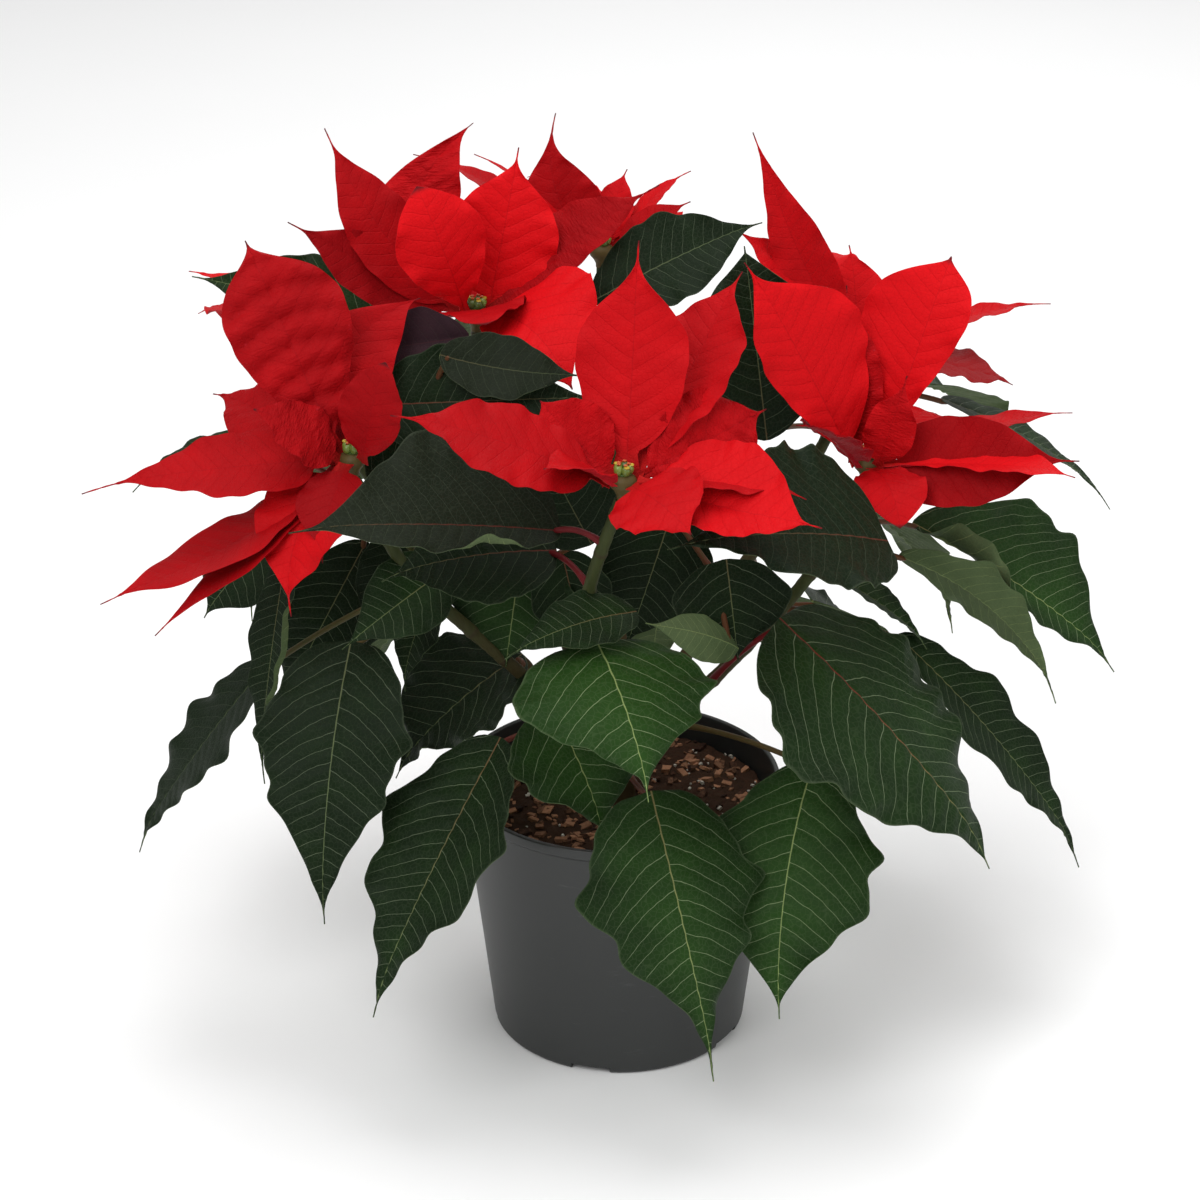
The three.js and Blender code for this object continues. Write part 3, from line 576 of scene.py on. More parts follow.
def addBlade(shape, build, rule, seed, look, at, tip, wide, arch=0, sway=0, face=(0, 0, 1), fold=0,
             stalk=0, foot=1.3, crinkle=0, valley=1, uneven=0, roll=None, creases=0, **form):
    # P(t, s) = foot + t chord + (sway hump + s half) side + (arch hump + lift + relief) up, where
    # hump = 4t(1 - t); the relief sinks the ribs and swells between them, the lift folds, twists and waves
    # the sheet, and the two faces lie half a thickness along its normal to either side
    dice = np.random.default_rng(seed)
    start, chord = np.array(at, float), np.subtract(tip, at).astype(float)
    length = np.linalg.norm(chord)
    along = chord / length
    side = unit(np.cross(along, face))
    up = np.cross(side, along)
    rows = int(np.clip(round(length / build["row"]), 16, 96))
    cols = 2 * int(np.clip(round(wide / build["column"] / 2), 4, 18))
    t = np.linspace(0, 1, rows + 1)[:, None]
    u = np.linspace(-1, 1, cols + 1)[None, :]
    s = np.sign(u) * np.abs(u) ** 1.2
    right = s > 0
    out = np.abs(s)
    hump = 4 * t * (1 - t)
    blade = np.maximum((t - stalk) / (1 - stalk), 0)
    half = np.maximum(np.maximum(wide / 2 * outline(blade, **form), foot * (1 - t) ** 4), build["tip"])
    shift = dice.random()
    y = t * length + 0 * s
    edge = half * (1 + uneven * np.sign(s) * (1 - t ** 4))
    beat = np.sin(y / 1.9 + 40 * shift * right) + 0.7 * np.sin(y / 3.1 + 9 * shift + 2 * right)
    edge = edge * (1 + build["scallop"] * beat * smooth(0.9, 0.6, t) * smooth(0, 0.15, t))
    x = edge * s

    # relief: swollen fields between the side veins, a sunk midrib and the crumple of young bracts
    grain = math.sqrt(min(wide / build["even"], 1.8))
    rise = (y - rule["lean"] * np.abs(x)) / grain - rule["bend"] * (x / grain) ** 2
    rank = rise * (1 + rule["crowd"] * t) / rule["gap"] + 0.46 * (x < 0) + shift
    between = np.abs((rank + 0.5) % 1 - 0.5)
    inner = smooth(0.02, 0.16, t) * smooth(1.0, 0.80, out) * smooth(1.0, 0.90, t)
    size = min(wide / 40, 1.3)
    relief = build["pillow"] * (1 + 1.5 * crinkle) * size * np.sin(np.pi * between) ** 2 * inner
    relief = relief - build["groove"] * np.exp(-(x / 1.2) ** 2) * (1 - t) * smooth(0, 0.1, t)
    phase = dice.random(8) * 2 * np.pi
    crumple = np.sin(x / 3.4 + y / 9.0 + phase[0]) * np.sin(y / 4.6 - x / 11.0 + phase[1])
    crumple = crumple + 0.6 * np.sin(x / 2.1 - y / 4.1 + phase[2]) * np.sin(y / 2.9 + phase[3])
    relief = relief + crinkle * 0.8 * size * crumple * inner

    # lift: the fold or the valley along the rib, a twist, the margin's frill and waves, drooping tip, creases
    waves = 2.5 + 2 * dice.random()
    wave = np.sin(2 * np.pi * waves * t + phase[4] + right * (1.7 + dice.random()))
    wave = wave + 0.5 * np.sin(2 * np.pi * waves * 2.3 * t + phase[5] + right * 2.1)
    ripple = build["ripple"] * (1 + crinkle) * wide * wave * out ** 3
    frill = build["frill"] * size * np.sin(y / 2.3 + 30 * shift + right * 2) * out ** 4
    frill = frill * smooth(0.05, 0.3, t) * smooth(1.0, 0.75, t)
    margin = frill + ripple * smooth(0, 0.25, t) * smooth(1.0, 0.8, t)
    bent = build["valley"] * valley * (0 if fold else 1) * half * out ** 1.4 * (0.5 + dice.random())
    turned = build["twist"] * (2 * dice.random() - 1) * half * s * (0.3 + t)
    lift = fold * out ** 1.3 * half / (wide / 2) + bent + turned + margin
    lift = lift - build["droop"] * length * smooth(0.7, 1.1, t) ** 2
    lift = lift + creases * np.abs(np.sin(np.pi * (y / 11 + 0.25 * np.sin(x / 9 + phase[6])))) * inner
    across = x
    if roll:
        across, curl = rollMargin(x, edge, t, *roll)
        lift = lift + curl
    line = start + chord * t[..., None] + side * (sway * hump + across)[..., None]
    middle = line + up * (arch * hump + lift + relief)[..., None]

    # the two faces, thinner to the rim, with the ribs raised below
    normal = unit(np.cross(np.gradient(middle, axis=1), np.gradient(middle, axis=0)))
    thick = build["rim"] + (build["thick"] - build["rim"]) * smooth(1.0, 0.7, out) * (1 - 0.4 * t)
    rib = build["rib"] * np.exp(-(x / 1.0) ** 2) * (1 - t) * smooth(1, 0.93, out)
    rib = rib + 0.14 * size * np.exp(-(between * rule["gap"] / 0.8) ** 2) * inner
    faces = [middle + normal * (thick / 2)[..., None], middle - normal * (thick / 2 + rib)[..., None]]
    zero = np.zeros_like(x)
    place = [np.stack([x / grain, y / grain, zero + below], -1) for below in (0, 1)]
    share = [np.stack([t + zero, s + zero, shift + zero], -1)] * 2
    points, place, share = (np.concatenate(pair).reshape(-1, 3) for pair in (faces, place, share))
    shape.add(points, shellFaces(rows, cols).tolist(), place=place, share=share, look=look)


# points of each branch, from the trunk to its bloom
branches = {
    "front": [(0, -2, 118), (-10, -30, 165), (-12, -58, 216), (0, -70, 261)],
    "left": [(-3, 0, 118), (-40, -8, 160), (-82, -24, 212), (-101, -30, 253)],
    "upperLeft": [(-3, 3, 120), (-30, 28, 180), (-50, 44, 240), (-57, 50, 282)],
    "right": [(3, 0, 118), (38, -4, 156), (76, 6, 198), (97, 20, 231)],
    "upperRight": [(3, 3, 120), (45, 42, 175), (84, 76, 225), (98, 90, 255)],
    "back": [(0, 3, 120), (2, 52, 180), (-6, 96, 240), (-8, 110, 288)],
    "farLeft": [(-3, 2, 116), (-60, 50, 160), (-112, 90, 215), (-134, 108, 262)],
}
petiole = {"radii": (1.7, 1.15), "shoot": (2.1, 1.7), "end": 0.5, "rise": 6, "inset": 3, "low": 0.3,
           "sides": 10, "around": 8.0, "rings": 22}
leafForm = {"point": 1.1, "thread": 0.03}  # the tip of every leaf, unless it says otherwise
hidden = {"widest": 0.35, "arch": 8, "lobes": 0.1}  # most leaves round the back
# branch and share of its length, foot and tip of the blade, full width and bends; uneven widens one margin
# over the other and roll curls one down (its side, from and to shares, how much and how tight); the tone runs
# from dark to fresh green and is partly painted shade, lower for leaves that lie in shade; red is the rib's
# and stalk's, and purple the whole blade's
leaves = {
    "front": dict(on=("front", 0.08), rise=-8, at=(12, -66, 138), tip=(37, -128, 48), wide=70,
        widest=0.32, arch=10, sway=3, fold=-5, lobes=0.12, point=1.4, toneAndShade=0.45, red=0.35),
    "front_right": dict(on=("right", 0.15), at=(76, -38, 137), tip=(61, -100, 58), wide=70, widest=0.48,
        arch=8, sway=3, lobes=0.08, point=1, toneAndShade=0.55, red=0.2),
    "right_front": dict(on=("right", 0.3), at=(61, -38, 198), tip=(144, -80, 115), wide=112, widest=0.37,
        arch=10, sway=9, fold=-6, uneven=-0.05, lobes=0.05, point=0.65, toneAndShade=0.32, red=0.75, valley=0.5),
    "right_mid": dict(on=("right", 0.55), at=(111, 10, 168), tip=(190, -10, 75), wide=38, widest=0.42,
        arch=5, face=(0.5, -0.4, 1), lobes=0.12, point=0.8, toneAndShade=0.2),
    "right_under": dict(on=("right", 0.72), at=(112, 27, 196), tip=(176, 0, 145), wide=36, arch=9,
        sway=2, face=(-0.2, 0.8, 0.8), lobes=0.14, toneAndShade=0.45),
    "right_upper": dict(on=("right", 0.82), at=(118, 42, 203), tip=(204, 30, 144), wide=53, widest=0.48,
        arch=6, face=(0, -0.4, 1), uneven=-0.45, lobes=0.06, toneAndShade=0.46,
        roll=(1, 0, 0.5, 12, 4.5)),
    "right_back": dict(on=("upperRight", 0.85), at=(133, 95, 236), tip=(208, 95, 189), wide=32, arch=5,
        lobes=0.1, toneAndShade=0.3),
    "centre_right": dict(on=("right", 0.93), at=(102, -28, 226), tip=(19, -85, 250), wide=66,
        widest=0.35, arch=6, face=(0, -0.8, 1), uneven=0.2, point=1, toneAndShade=0.02, red=0.6),
    "centre_left": dict(on=("front", 0.85), at=(-22, -60, 244), tip=(-119, -88, 257), wide=54,
        arch=4, face=(0, -0.8, 1), uneven=0.5, toneAndShade=0, red=0.9, purple=0.12,
        roll=(-1, 0.1, 0.5, 5, 2)),
    "centre_left_low": dict(on=("front", 0.7), at=(-24, -42, 228), tip=(-90, -50, 220), wide=50, arch=5,
        face=(0, -0.6, 1), toneAndShade=0.06, red=0.6),
    "left_front": dict(on=("left", 0.55), at=(-104, -30, 184), tip=(-114, -85, 90), wide=58, widest=0.33,
        arch=8, sway=1, lobes=0.08, point=0.8, toneAndShade=0.09, red=0.2),
    "left_low": dict(on=("left", 0.12), at=(-46, -45, 150), tip=(-96, -105, 62), wide=58, arch=8,
        sway=-4, lobes=0.12, point=0.8, toneAndShade=0.18, red=0.4),
    "centre": dict(on=("front", 0.55), at=(-9, -72, 205), tip=(11, -122, 165), wide=78, widest=0.33,
        arch=6, fold=-6, lobes=0.06, toneAndShade=0.66, red=0.1),
    "centre_low": dict(on=("front", 0.3), at=(-27, -42, 161), tip=(-6, -70, 121), wide=64, arch=4,
        toneAndShade=0.5),
    "far_left": dict(on=("left", 0.62), at=(-141, 0, 159), tip=(-196, -20, 86), wide=46, widest=0.36,
        arch=4, sway=-4, lobes=0.12, point=0.8, toneAndShade=0, red=0.1),
    "left_edge": dict(on=("left", 0.84), at=(-130, -10, 211), tip=(-142, -34, 123), wide=22, widest=0.35,
        arch=2, face=(-0.6, -0.8, 0.3), lobes=0.1, toneAndShade=0.1, roll=(-1, 0.1, 0.75, 4, 1.4)),
    "left_small": dict(on=("left", 0.8), at=(-139, 22, 204), tip=(-167, 12, 174), wide=34, arch=4,
        face=(-0.5, -1, 0.3), toneAndShade=0.15),
    "left_behind": dict(on=("left", 0.88), rise=4, at=(-101, 18, 205), tip=(-138, 16, 133), wide=44,
        widest=0.45, arch=5, face=(0, -1, 0.3), lobes=0.1, toneAndShade=0.1),
    "left_inner": dict(on=("left", 0.3), at=(-39, 10, 159), tip=(-91, -14, 117), wide=78, arch=4,
        lobes=0.08, toneAndShade=0.1),
    "top": dict(on=("back", 0.88), at=(-11, 52, 294), tip=(56, 72, 321), wide=37, widest=0.45, arch=4,
        face=(0.2, -1, 1), toneAndShade=0.06, red=0.2),
    "top_low": dict(on=("upperRight", 0.7), at=(58, 32, 243), tip=(48, 38, 321), wide=54, widest=0.5,
        face=(0, -1, 0.6), point=0.4, toneAndShade=0.05),
    "purple": dict(on=("upperLeft", 0.85), at=(-58, 6, 296), tip=(-96, 5, 290), wide=27, widest=0.5,
        arch=2, face=(0, -1, 0.5), point=0.5, toneAndShade=0.1, red=0.8, purple=0.9),
    "back_left": dict(on=("upperLeft", 0.75), at=(-94, 82, 275), tip=(-175, 90, 291), wide=38,
        face=(0, -1, 0.5), toneAndShade=0.3),
    "left_upper": dict(on=("left", 0.92), at=(-141, 20, 248), tip=(-192, 10, 231), wide=22, arch=4),
    "back_a": dict(hidden, on=("back", 0.7), at=(10, 120, 222), tip=(40, 178, 150), wide=60, arch=10),
    "back_b": dict(hidden, on=("back", 0.55), at=(-30, 112, 190), tip=(-52, 165, 105), wide=58, arch=10,
        lobes=0.12),
    "back_c": dict(hidden, on=("upperRight", 0.6), at=(95, 100, 190), tip=(150, 140, 110), wide=56),
    "back_d": dict(hidden, on=("upperRight", 0.4), at=(60, 92, 150), tip=(82, 140, 70), wide=52),
    "back_e": dict(hidden, on=("farLeft", 0.75), at=(-118, 130, 200), tip=(-140, 180, 130), wide=54),
    "back_f": dict(hidden, on=("farLeft", 0.5), at=(-95, 85, 150), tip=(-130, 125, 75), wide=54),
    "back_g": dict(hidden, on=("farLeft", 0.65), at=(-126, 64, 192), tip=(-158, 84, 140), wide=46),
    "back_h": dict(on=("back", 0.85), at=(-30, 140, 262), tip=(-72, 185, 222), wide=50, arch=6),
    "back_i": dict(on=("upperRight", 0.75), at=(126, 124, 232), tip=(165, 162, 188), wide=48, arch=6),
    "back_j": dict(hidden, on=("upperRight", 0.25), at=(80, 60, 160), tip=(126, 92, 88), wide=50, lobes=0),
    "back_k": dict(hidden, on=("farLeft", 0.35), at=(-76, 42, 168), tip=(-118, 70, 100), wide=46, arch=6,
        lobes=0),
    "back_l": dict(hidden, on=("back", 0.3), at=(22, 84, 165), tip=(14, 128, 86), wide=52, lobes=0),
    "centre_top": dict(on=("front", 0.62), at=(6, -62, 212), tip=(-42, -88, 206), wide=26, arch=5,
        face=(0, -0.6, 1), red=0.4),
    "right_small": dict(on=("right", 0.66), at=(87, 12, 192), tip=(124, 10, 163), wide=28, arch=2,
        toneAndShade=0.4),
}
# side stems: where each starts and ends, and the young leaves at its end
shoots = {
    "left": dict(on=("left", 0.8), to=(-77, 0, 204), young=[
        dict(at=(-66, -18, 210), tip=(-106, -45, 188), wide=32, arch=5, face=(0, -1, 0.6), point=1),
        dict(at=(-70, 0, 200), tip=(-86, -15, 155), wide=28, arch=3, toneAndShade=0.2),
        dict(at=(-84, 6, 218), tip=(-102, 0, 170), wide=24, arch=3, face=(0, -1, 0.4), toneAndShade=0.05),
    ]),
    "right": dict(on=("right", 0.5), to=(37, -14, 205), young=[
        dict(at=(41, -16, 213), tip=(46, -28, 174), wide=46, arch=3, face=(0, -1, 0.4), toneAndShade=0.1),
        dict(at=(45, -34, 183), tip=(9, -46, 199), wide=20, arch=-4, face=(0, 0.8, -1), point=1, toneAndShade=0.6),
        dict(at=(21, 4, 227), tip=(2, 0, 166), wide=46, arch=4, face=(0, -1, 0.3), toneAndShade=0.1),
    ]),
    "upper": dict(on=("upperLeft", 0.6), to=(-79, 2, 261), young=[
        dict(at=(-68, -14, 296), tip=(-14, -26, 293), wide=26, arch=-7, face=(0, -1, 0.8), toneAndShade=0.02,
            purple=0.12),
        dict(at=(-95, -10, 274), tip=(-7, -16, 280), wide=44, arch=2, face=(0, -1, 0.5), toneAndShade=0.05,
            red=0.6),
        dict(at=(-94, 10, 262), tip=(-66, 6, 238), wide=42, arch=2, face=(0, -1, 0.4), toneAndShade=0.05),
    ]),
    "middle": dict(on=("upperLeft", 0.35), to=(-30, 6, 202), young=[
        dict(at=(-39, 0, 207), tip=(-45, -14, 165), wide=50, arch=3, face=(0, -1, 0.3), toneAndShade=0.4),
        dict(at=(-11, -25, 223), tip=(-32, -20, 264), wide=36, arch=3, face=(0, -1, 0.4), toneAndShade=0.05),
        dict(at=(-23, -6, 212), tip=(-13, -10, 169), wide=32, arch=3, face=(0, -1, 0.3), toneAndShade=0.15,
            red=0.5),
    ]),
}


def addStalk(shape, root, end, rise, radii, look):
    # a petiole on the curve (1-u)^2 root + 2u(1-u) bend + u^2 end, thickest where it leaves its stem; its
    # places are the way round and the way along
    bend = (root + end) / 2 + (0, 0, rise)
    u = np.linspace(0, 1, petiole["rings"])[:, None]
    line = (1 - u) ** 2 * root + 2 * u * (1 - u) * bend + u ** 2 * end
    radius = radii[0] + (radii[1] - radii[0]) * smooth(0, 0.35, u[:, 0])
    radius[-1] = petiole["end"]
    sides = petiole["sides"]
    points, quads, caps = tubeShape(line, radius, sides)
    around = np.arange(sides) / sides * petiole["around"]
    place = np.stack([np.tile(around, len(line)), np.repeat(runAlong(line), sides), np.zeros(len(points))], 1)
    shape.add(points, quads.tolist() + caps, 1, place=place, look=look)


def addLeaf(shape, seed, root, at, tip, toneAndShade=0.25, red=0.3, purple=0, rise=petiole["rise"], **bends):
    # a blade, and its petiole from the root on the stem to just inside the blade
    addBlade(shape, leafBlade, leafVeins, seed, (toneAndShade, red, purple), at, tip, **dict(leafForm, **bends))
    end = at + unit(np.subtract(tip, at).astype(float)) * petiole["inset"] - (0, 0, petiole["low"])
    addStalk(shape, root, end, rise, petiole["radii"], (toneAndShade, max(red, 0.15) + 0.25, purple))


def makeLeaf(name, seed, on, **leaf):
    # one leaf from its share of a branch
    shape = Shape()
    addLeaf(shape, seed, curvePoint(branches[on[0]], [on[1]])[0], **leaf)
    return shape.piece("leafBlade_" + name, ["leaf", "stalk"], "leaf_" + name, 55)


def makeShoot(name, seed, on, to, young):
    # a side stem, with its young leaves fanned from its end
    shape = Shape()
    root, end = curvePoint(branches[on[0]], [on[1]])[0], np.array(to, float)
    addStalk(shape, root, end, petiole["rise"], petiole["shoot"], (0.4, 0.35, 0))
    for number, leaf in enumerate(young):
        addLeaf(shape, seed * 10 + number, end, **dict(leaf, rise=0))
    return shape.piece("youngLeaves_" + name, ["leaf", "stalk"], "shoot_" + name, 55)


for number, (name, leaf) in enumerate(leaves.items()):
    makeLeaf(name, 100 + number, **leaf)
for number, (name, shoot) in enumerate(shoots.items()):
    makeShoot(name, 60 + number, **shoot)
print("leaves:", len(leaves), "shoots:", len(shoots))


bract = {"arch": 3, "foot": 2.8, "stalk": 0.1, "point": 2.6, "sudden": 4}
core = {"reach": 5, "sides": 24, "look": (0.2, 0.45, 0),
        "profile": [(1.6, -6.9), (2.45, -6.6), (2.5, -5.0), (3.4, -3.2), (4.9, -1.4), (5.2, 0.2),
                    (4.4, 2.0), (2.6, 3.2), (0.9, 3.6)]}
# middle of each bloom, and its bracts' tips, widths and bends; point and sudden draw out the tip, the tone
# runs from deep to bright red (at random where none is given) and is partly painted shade, lower for bracts
# that lie in shade, and crinkle and creases are a young bract's relief
blooms = {
    "front": dict(middle=(1, -70, 268), bracts=[
        dict(tip=(6, -40, 350), wide=42, widest=0.46, arch=-3, foot=6, point=3.4, sudden=3, toneAndShade=0.55),
        dict(tip=(44, -15, 331), wide=40, widest=0.5, arch=-2, foot=5, toneAndShade=0.45),
        dict(tip=(54, -45, 287), wide=38, widest=0.5, face=(0, -1, 0.5), toneAndShade=0.4, crinkle=1),
        dict(tip=(72, -95, 262), wide=42, arch=-3, face=(0, -0.7, 1), uneven=-0.35, toneAndShade=0.7),
        dict(tip=(68, -70, 263), wide=26, toneAndShade=0.4),
        dict(tip=(-81, -85, 301), wide=35, face=(0, -0.6, 1), toneAndShade=0.32),
        dict(tip=(-30, -45, 290), wide=30, face=(0, -1, 0.3), foot=5, point=1, toneAndShade=0.45, crinkle=0.9),
        dict(tip=(-27, -92, 283), wide=26, point=1, toneAndShade=0.4),
        dict(tip=(25, -102, 262), wide=38, face=(0, -0.7, 1), point=1, toneAndShade=0.5),
    ]),
    "left": dict(middle=(-101, -30, 260), bracts=[
        dict(tip=(-139, -15, 341), wide=46, widest=0.6, face=(0.2, -1, 0.3), uneven=0.1, point=1.6,
            sudden=6, toneAndShade=0.25, creases=2.4, crinkle=0.35),
        dict(tip=(-76, 5, 312), wide=34, sway=-18, face=(0.2, -1, 0.3), point=1, toneAndShade=0.3),
        dict(tip=(-87, -42, 303), wide=25, widest=0.5, face=(-0.2, -1, 0.3), point=0.15, toneAndShade=0.2),
        dict(tip=(-158, 10, 272), wide=38, face=(0, -0.6, 1), toneAndShade=0.25, crinkle=0.5),
        dict(tip=(-200.5, -50, 256), wide=32, widest=0.3, face=(0, -0.5, 1), point=3, sudden=2,
            toneAndShade=0.35),
        dict(tip=(-193, -75, 223), wide=31, widest=0.45, arch=-8, toneAndShade=0.3),
        dict(tip=(-173, -80, 212), wide=18, arch=-3, toneAndShade=0.25),
        dict(tip=(-123, -70, 214), wide=38, widest=0.3, arch=6, sway=5, toneAndShade=0.55),
        dict(tip=(-111, -62, 232), wide=26, arch=6, toneAndShade=0),
        dict(tip=(-120, 20, 280), wide=34, arch=6, toneAndShade=0.1),
        dict(tip=(-135, -44, 286), wide=24, arch=4, face=(0, -0.8, 1), point=0.6, toneAndShade=0.25, crinkle=1),
    ]),
    "upper_left": dict(middle=(-57, 50, 289), bracts=[
        dict(tip=(-115, 60, 362), wide=28, sway=-7, face=(0.4, -1, 0.2), toneAndShade=0.3),
        dict(tip=(-59, 85, 357), wide=36, sway=-23, face=(0, -1, 0.2), point=1, toneAndShade=0.45, crinkle=1),
        dict(tip=(-78, 34, 346), wide=36, widest=0.62, arch=6, face=(0.2, -1, 0.3), point=0.2, toneAndShade=1),
        dict(tip=(-40, 60, 354), wide=44, face=(0.1, -1, 0.3), toneAndShade=0.95),
        dict(tip=(-128, 35, 332), wide=26, arch=-4, face=(0, -1, 0.6), toneAndShade=0),
        dict(tip=(14, 60, 340), wide=26, face=(0, -1, 1.2), uneven=-0.3, toneAndShade=0.2, crinkle=0.5),
        dict(tip=(-19, 2, 277), wide=48, arch=10, sway=-5, face=(0.2, -1, 0.6), uneven=-0.4, point=0.8,
            toneAndShade=0.75),
        dict(tip=(-52, 11, 300), wide=38, arch=4, face=(0, -0.8, 1), point=0, toneAndShade=0.3),
        dict(tip=(-70, 110, 300), wide=34, arch=6),
        dict(tip=(-15, 100, 306), wide=30, arch=6),
    ]),
    "right": dict(middle=(97, 20, 238), bracts=[
        dict(tip=(48, 4, 326), wide=44, widest=0.55, face=(0.3, -1, 0.5), uneven=0.3, toneAndShade=1),
        dict(tip=(127, 30, 320), wide=40, widest=0.68, face=(-0.2, -1, 0.3), uneven=-0.35, point=1,
            sudden=10, toneAndShade=1),
        dict(tip=(177, 0, 248), wide=36, widest=0.32, arch=2, face=(0, -1, 0.6), toneAndShade=0.15),
        dict(tip=(174, -12, 248), wide=20, widest=0.68, arch=2, toneAndShade=0.8),
        dict(tip=(108, -14, 226), wide=30, widest=0.5, arch=6, point=0.2, toneAndShade=0.45),
        dict(tip=(68, -2, 264), wide=34, toneAndShade=0),
        dict(tip=(110, 8, 279), wide=20, face=(0, -1, 0.5), toneAndShade=0.55, crinkle=1),
        dict(tip=(179, 40, 254), wide=22, arch=2, toneAndShade=0.4),
        dict(tip=(130, 70, 240), wide=30, arch=6),
        dict(tip=(87, 24, 310), wide=24, arch=2, face=(0, -1, 0.3), toneAndShade=0.5, crinkle=0.8),
    ]),
    "upper_right": dict(middle=(98, 90, 262), bracts=[
        dict(tip=(53, 80, 354), wide=24, widest=0.33, sway=-4, face=(0.3, -1, 0.2), point=1.2, sudden=1,
            toneAndShade=0.6),
        dict(tip=(45, 75, 318), wide=28, face=(0.4, -0.6, 1), toneAndShade=0.7),
        dict(tip=(178, 112, 274), wide=16, arch=1),
        dict(tip=(161, 82, 249), wide=42, widest=0.5, arch=0, point=1, toneAndShade=0.1),
        dict(tip=(94, 110, 298), wide=26),
        dict(tip=(118, 144, 262), wide=30, arch=4),
        dict(tip=(70, 150, 285), wide=36, arch=8),
    ]),
    "back": dict(middle=(-8, 110, 295), bracts=[
        dict(tip=(-27, 125, 349), wide=34, widest=0.3, sway=-8, face=(0, -1, 0.2), sudden=1, toneAndShade=0.25),
        dict(tip=(-59, 115, 336), wide=10),
        dict(tip=(-85, 130, 332), wide=16),
        dict(tip=(2, 130, 324), wide=18),
        dict(tip=(28, 130, 324), wide=12),
        dict(tip=(28, 112, 316), wide=14, face=(0, -1, 1)),
        dict(tip=(-40, 175, 308), wide=30, arch=8),
        dict(tip=(20, 170, 292), wide=38, arch=4),
        dict(tip=(-5, 190, 265), wide=36, arch=12),
    ]),
    "far_left": dict(middle=(-134, 108, 263), bracts=[
        dict(tip=(-178, 110, 287), wide=18),
        dict(tip=(-155, 118, 286), wide=18),
        dict(tip=(-114, 112, 287), wide=26),
        dict(tip=(-134, 160, 268), wide=36, arch=4),
        dict(tip=(-180, 140, 258), wide=34, arch=4),
        dict(tip=(-95, 150, 262), wide=34, arch=4),
    ]),
}


def addLathe(shape, profile, middle, sides, skin, **values):
    # a profile of (radius, height) turned round an upright line through the middle, closed at both ends
    radius, high = np.array(profile, float).T
    angle = np.linspace(0, 2 * np.pi, sides, endpoint=False)
    points = np.stack([radius[:, None] * np.cos(angle), radius[:, None] * np.sin(angle),
                       high[:, None] + 0 * angle], -1).reshape(-1, 3) + middle
    quads = ringFaces(len(radius), sides).tolist()
    shape.add(points, quads + ringCaps(len(radius), sides), skin, **values)


def makeBloom(name, seed, middle, bracts):
    # a turned core, with each bract rooted in it on the way out to its own tip
    shape = Shape()
    middle = np.array(middle, float)
    dice = np.random.default_rng(seed)
    addLathe(shape, core["profile"], middle, core["sides"], 1, look=core["look"])
    for number, settings in enumerate(bracts):
        shaped = {**bract, "toneAndShade": 0.35 + 0.5 * dice.random(), **settings}
        look = (shaped.pop("toneAndShade"), shaped.get("crinkle", 0), 0)
        at = middle + unit((np.array(settings["tip"], float) - middle) * (1, 1, 0)) * core["reach"]
        addBlade(shape, bractBlade, bractVeins, seed * 20 + number, look, at, **shaped)
    return shape.piece("bracts_" + name, ["bract", "stalk"], "bloom_" + name, 55)


# profiles of (radius, height): the base, and a cup with its gland and its stamens
cyathium = {
    "count": 5, "reach": 2.3, "low": 2.3, "sunk": 0.8,
    "base": [(2.6, 0), (3.1, 1.36), (2.48, 1.7), (0.93, 1.87)],
    "cup": [(0.6, 0.0), (1.2, 0.5), (1.6, 1.6), (1.7, 2.6), (1.4, 3.5), (1.0, 4.1), (0.7, 4.2), (0.4, 3.6)],
    "gland": [(0.25, 0.0), (0.8, 0.1), (1.05, 0.5), (0.9, 0.85), (0.45, 0.7), (0.1, 0.62)],
    "stamen": [(0.16, 0.0), (0.16, 1.0), (0.34, 1.15), (0.36, 1.4), (0.15, 1.6)],
    "stamens": (0.3, 1.9, 3.4, 5.0), "spread": 0.45,
}


def outward(angle):
    # unit vector at an angle round the upright
    return np.array([math.cos(angle), math.sin(angle), 0])


def makeCyathia(name, seed, middle):
    # small green cups round the middle, some with a yellow gland at the lip, and red stamens in the mouth
    shape = Shape()
    dice = np.random.default_rng(seed)
    foot = np.array(middle, float) + (0, 0, cyathium["low"])
    addLathe(shape, cyathium["base"], foot, 24, 0, look=(0, 0.25, 0))
    for number in range(cyathium["count"]):
        out = outward(2 * np.pi * number / cyathium["count"] + 0.2 * dice.random())
        at = foot + out * cyathium["reach"] + (0, 0, cyathium["sunk"])
        grown = 0.78 + 0.22 * dice.random()
        cup = [(radius, high * grown) for radius, high in cyathium["cup"]]
        addLathe(shape, cup, at, 18, 0, look=(0, 0.4 + 0.6 * dice.random(), 0))
        if number % 2 == 0:
            addLathe(shape, cyathium["gland"], at + out * 0.7 + (0, 0, 3.6 * grown), 12, 0, look=(1, 0, 0))
        for angle in cyathium["stamens"]:
            mouth = at - out * 0.3 + outward(angle) * cyathium["spread"] + (0, 0, 3.4 * grown)
            addLathe(shape, cyathium["stamen"], mouth, 6, 0, look=(2, 0, 0))
    return shape.piece("flowers_" + name, ["flower"], "cyathia_" + name, 50)


for number, (name, bloom) in enumerate(blooms.items()):
    makeBloom(name, 11 + number, **bloom)
    makeCyathia(name, 31 + number, bloom["middle"])
print("blooms:", len(blooms))


stem = {"trunk": [(0, 0, 58), (1, -1, 100), (0, 0, 124)], "trunkRadius": (5.6, 5.3), "radius": (2.85, 2.3),
        "sides": 16, "rings": 60, "ring": 1.2, "joint": 19.0, "swell": 0.35, "swellReach": 1.6,
        "scarReach": 0.7, "rough": 0.12}


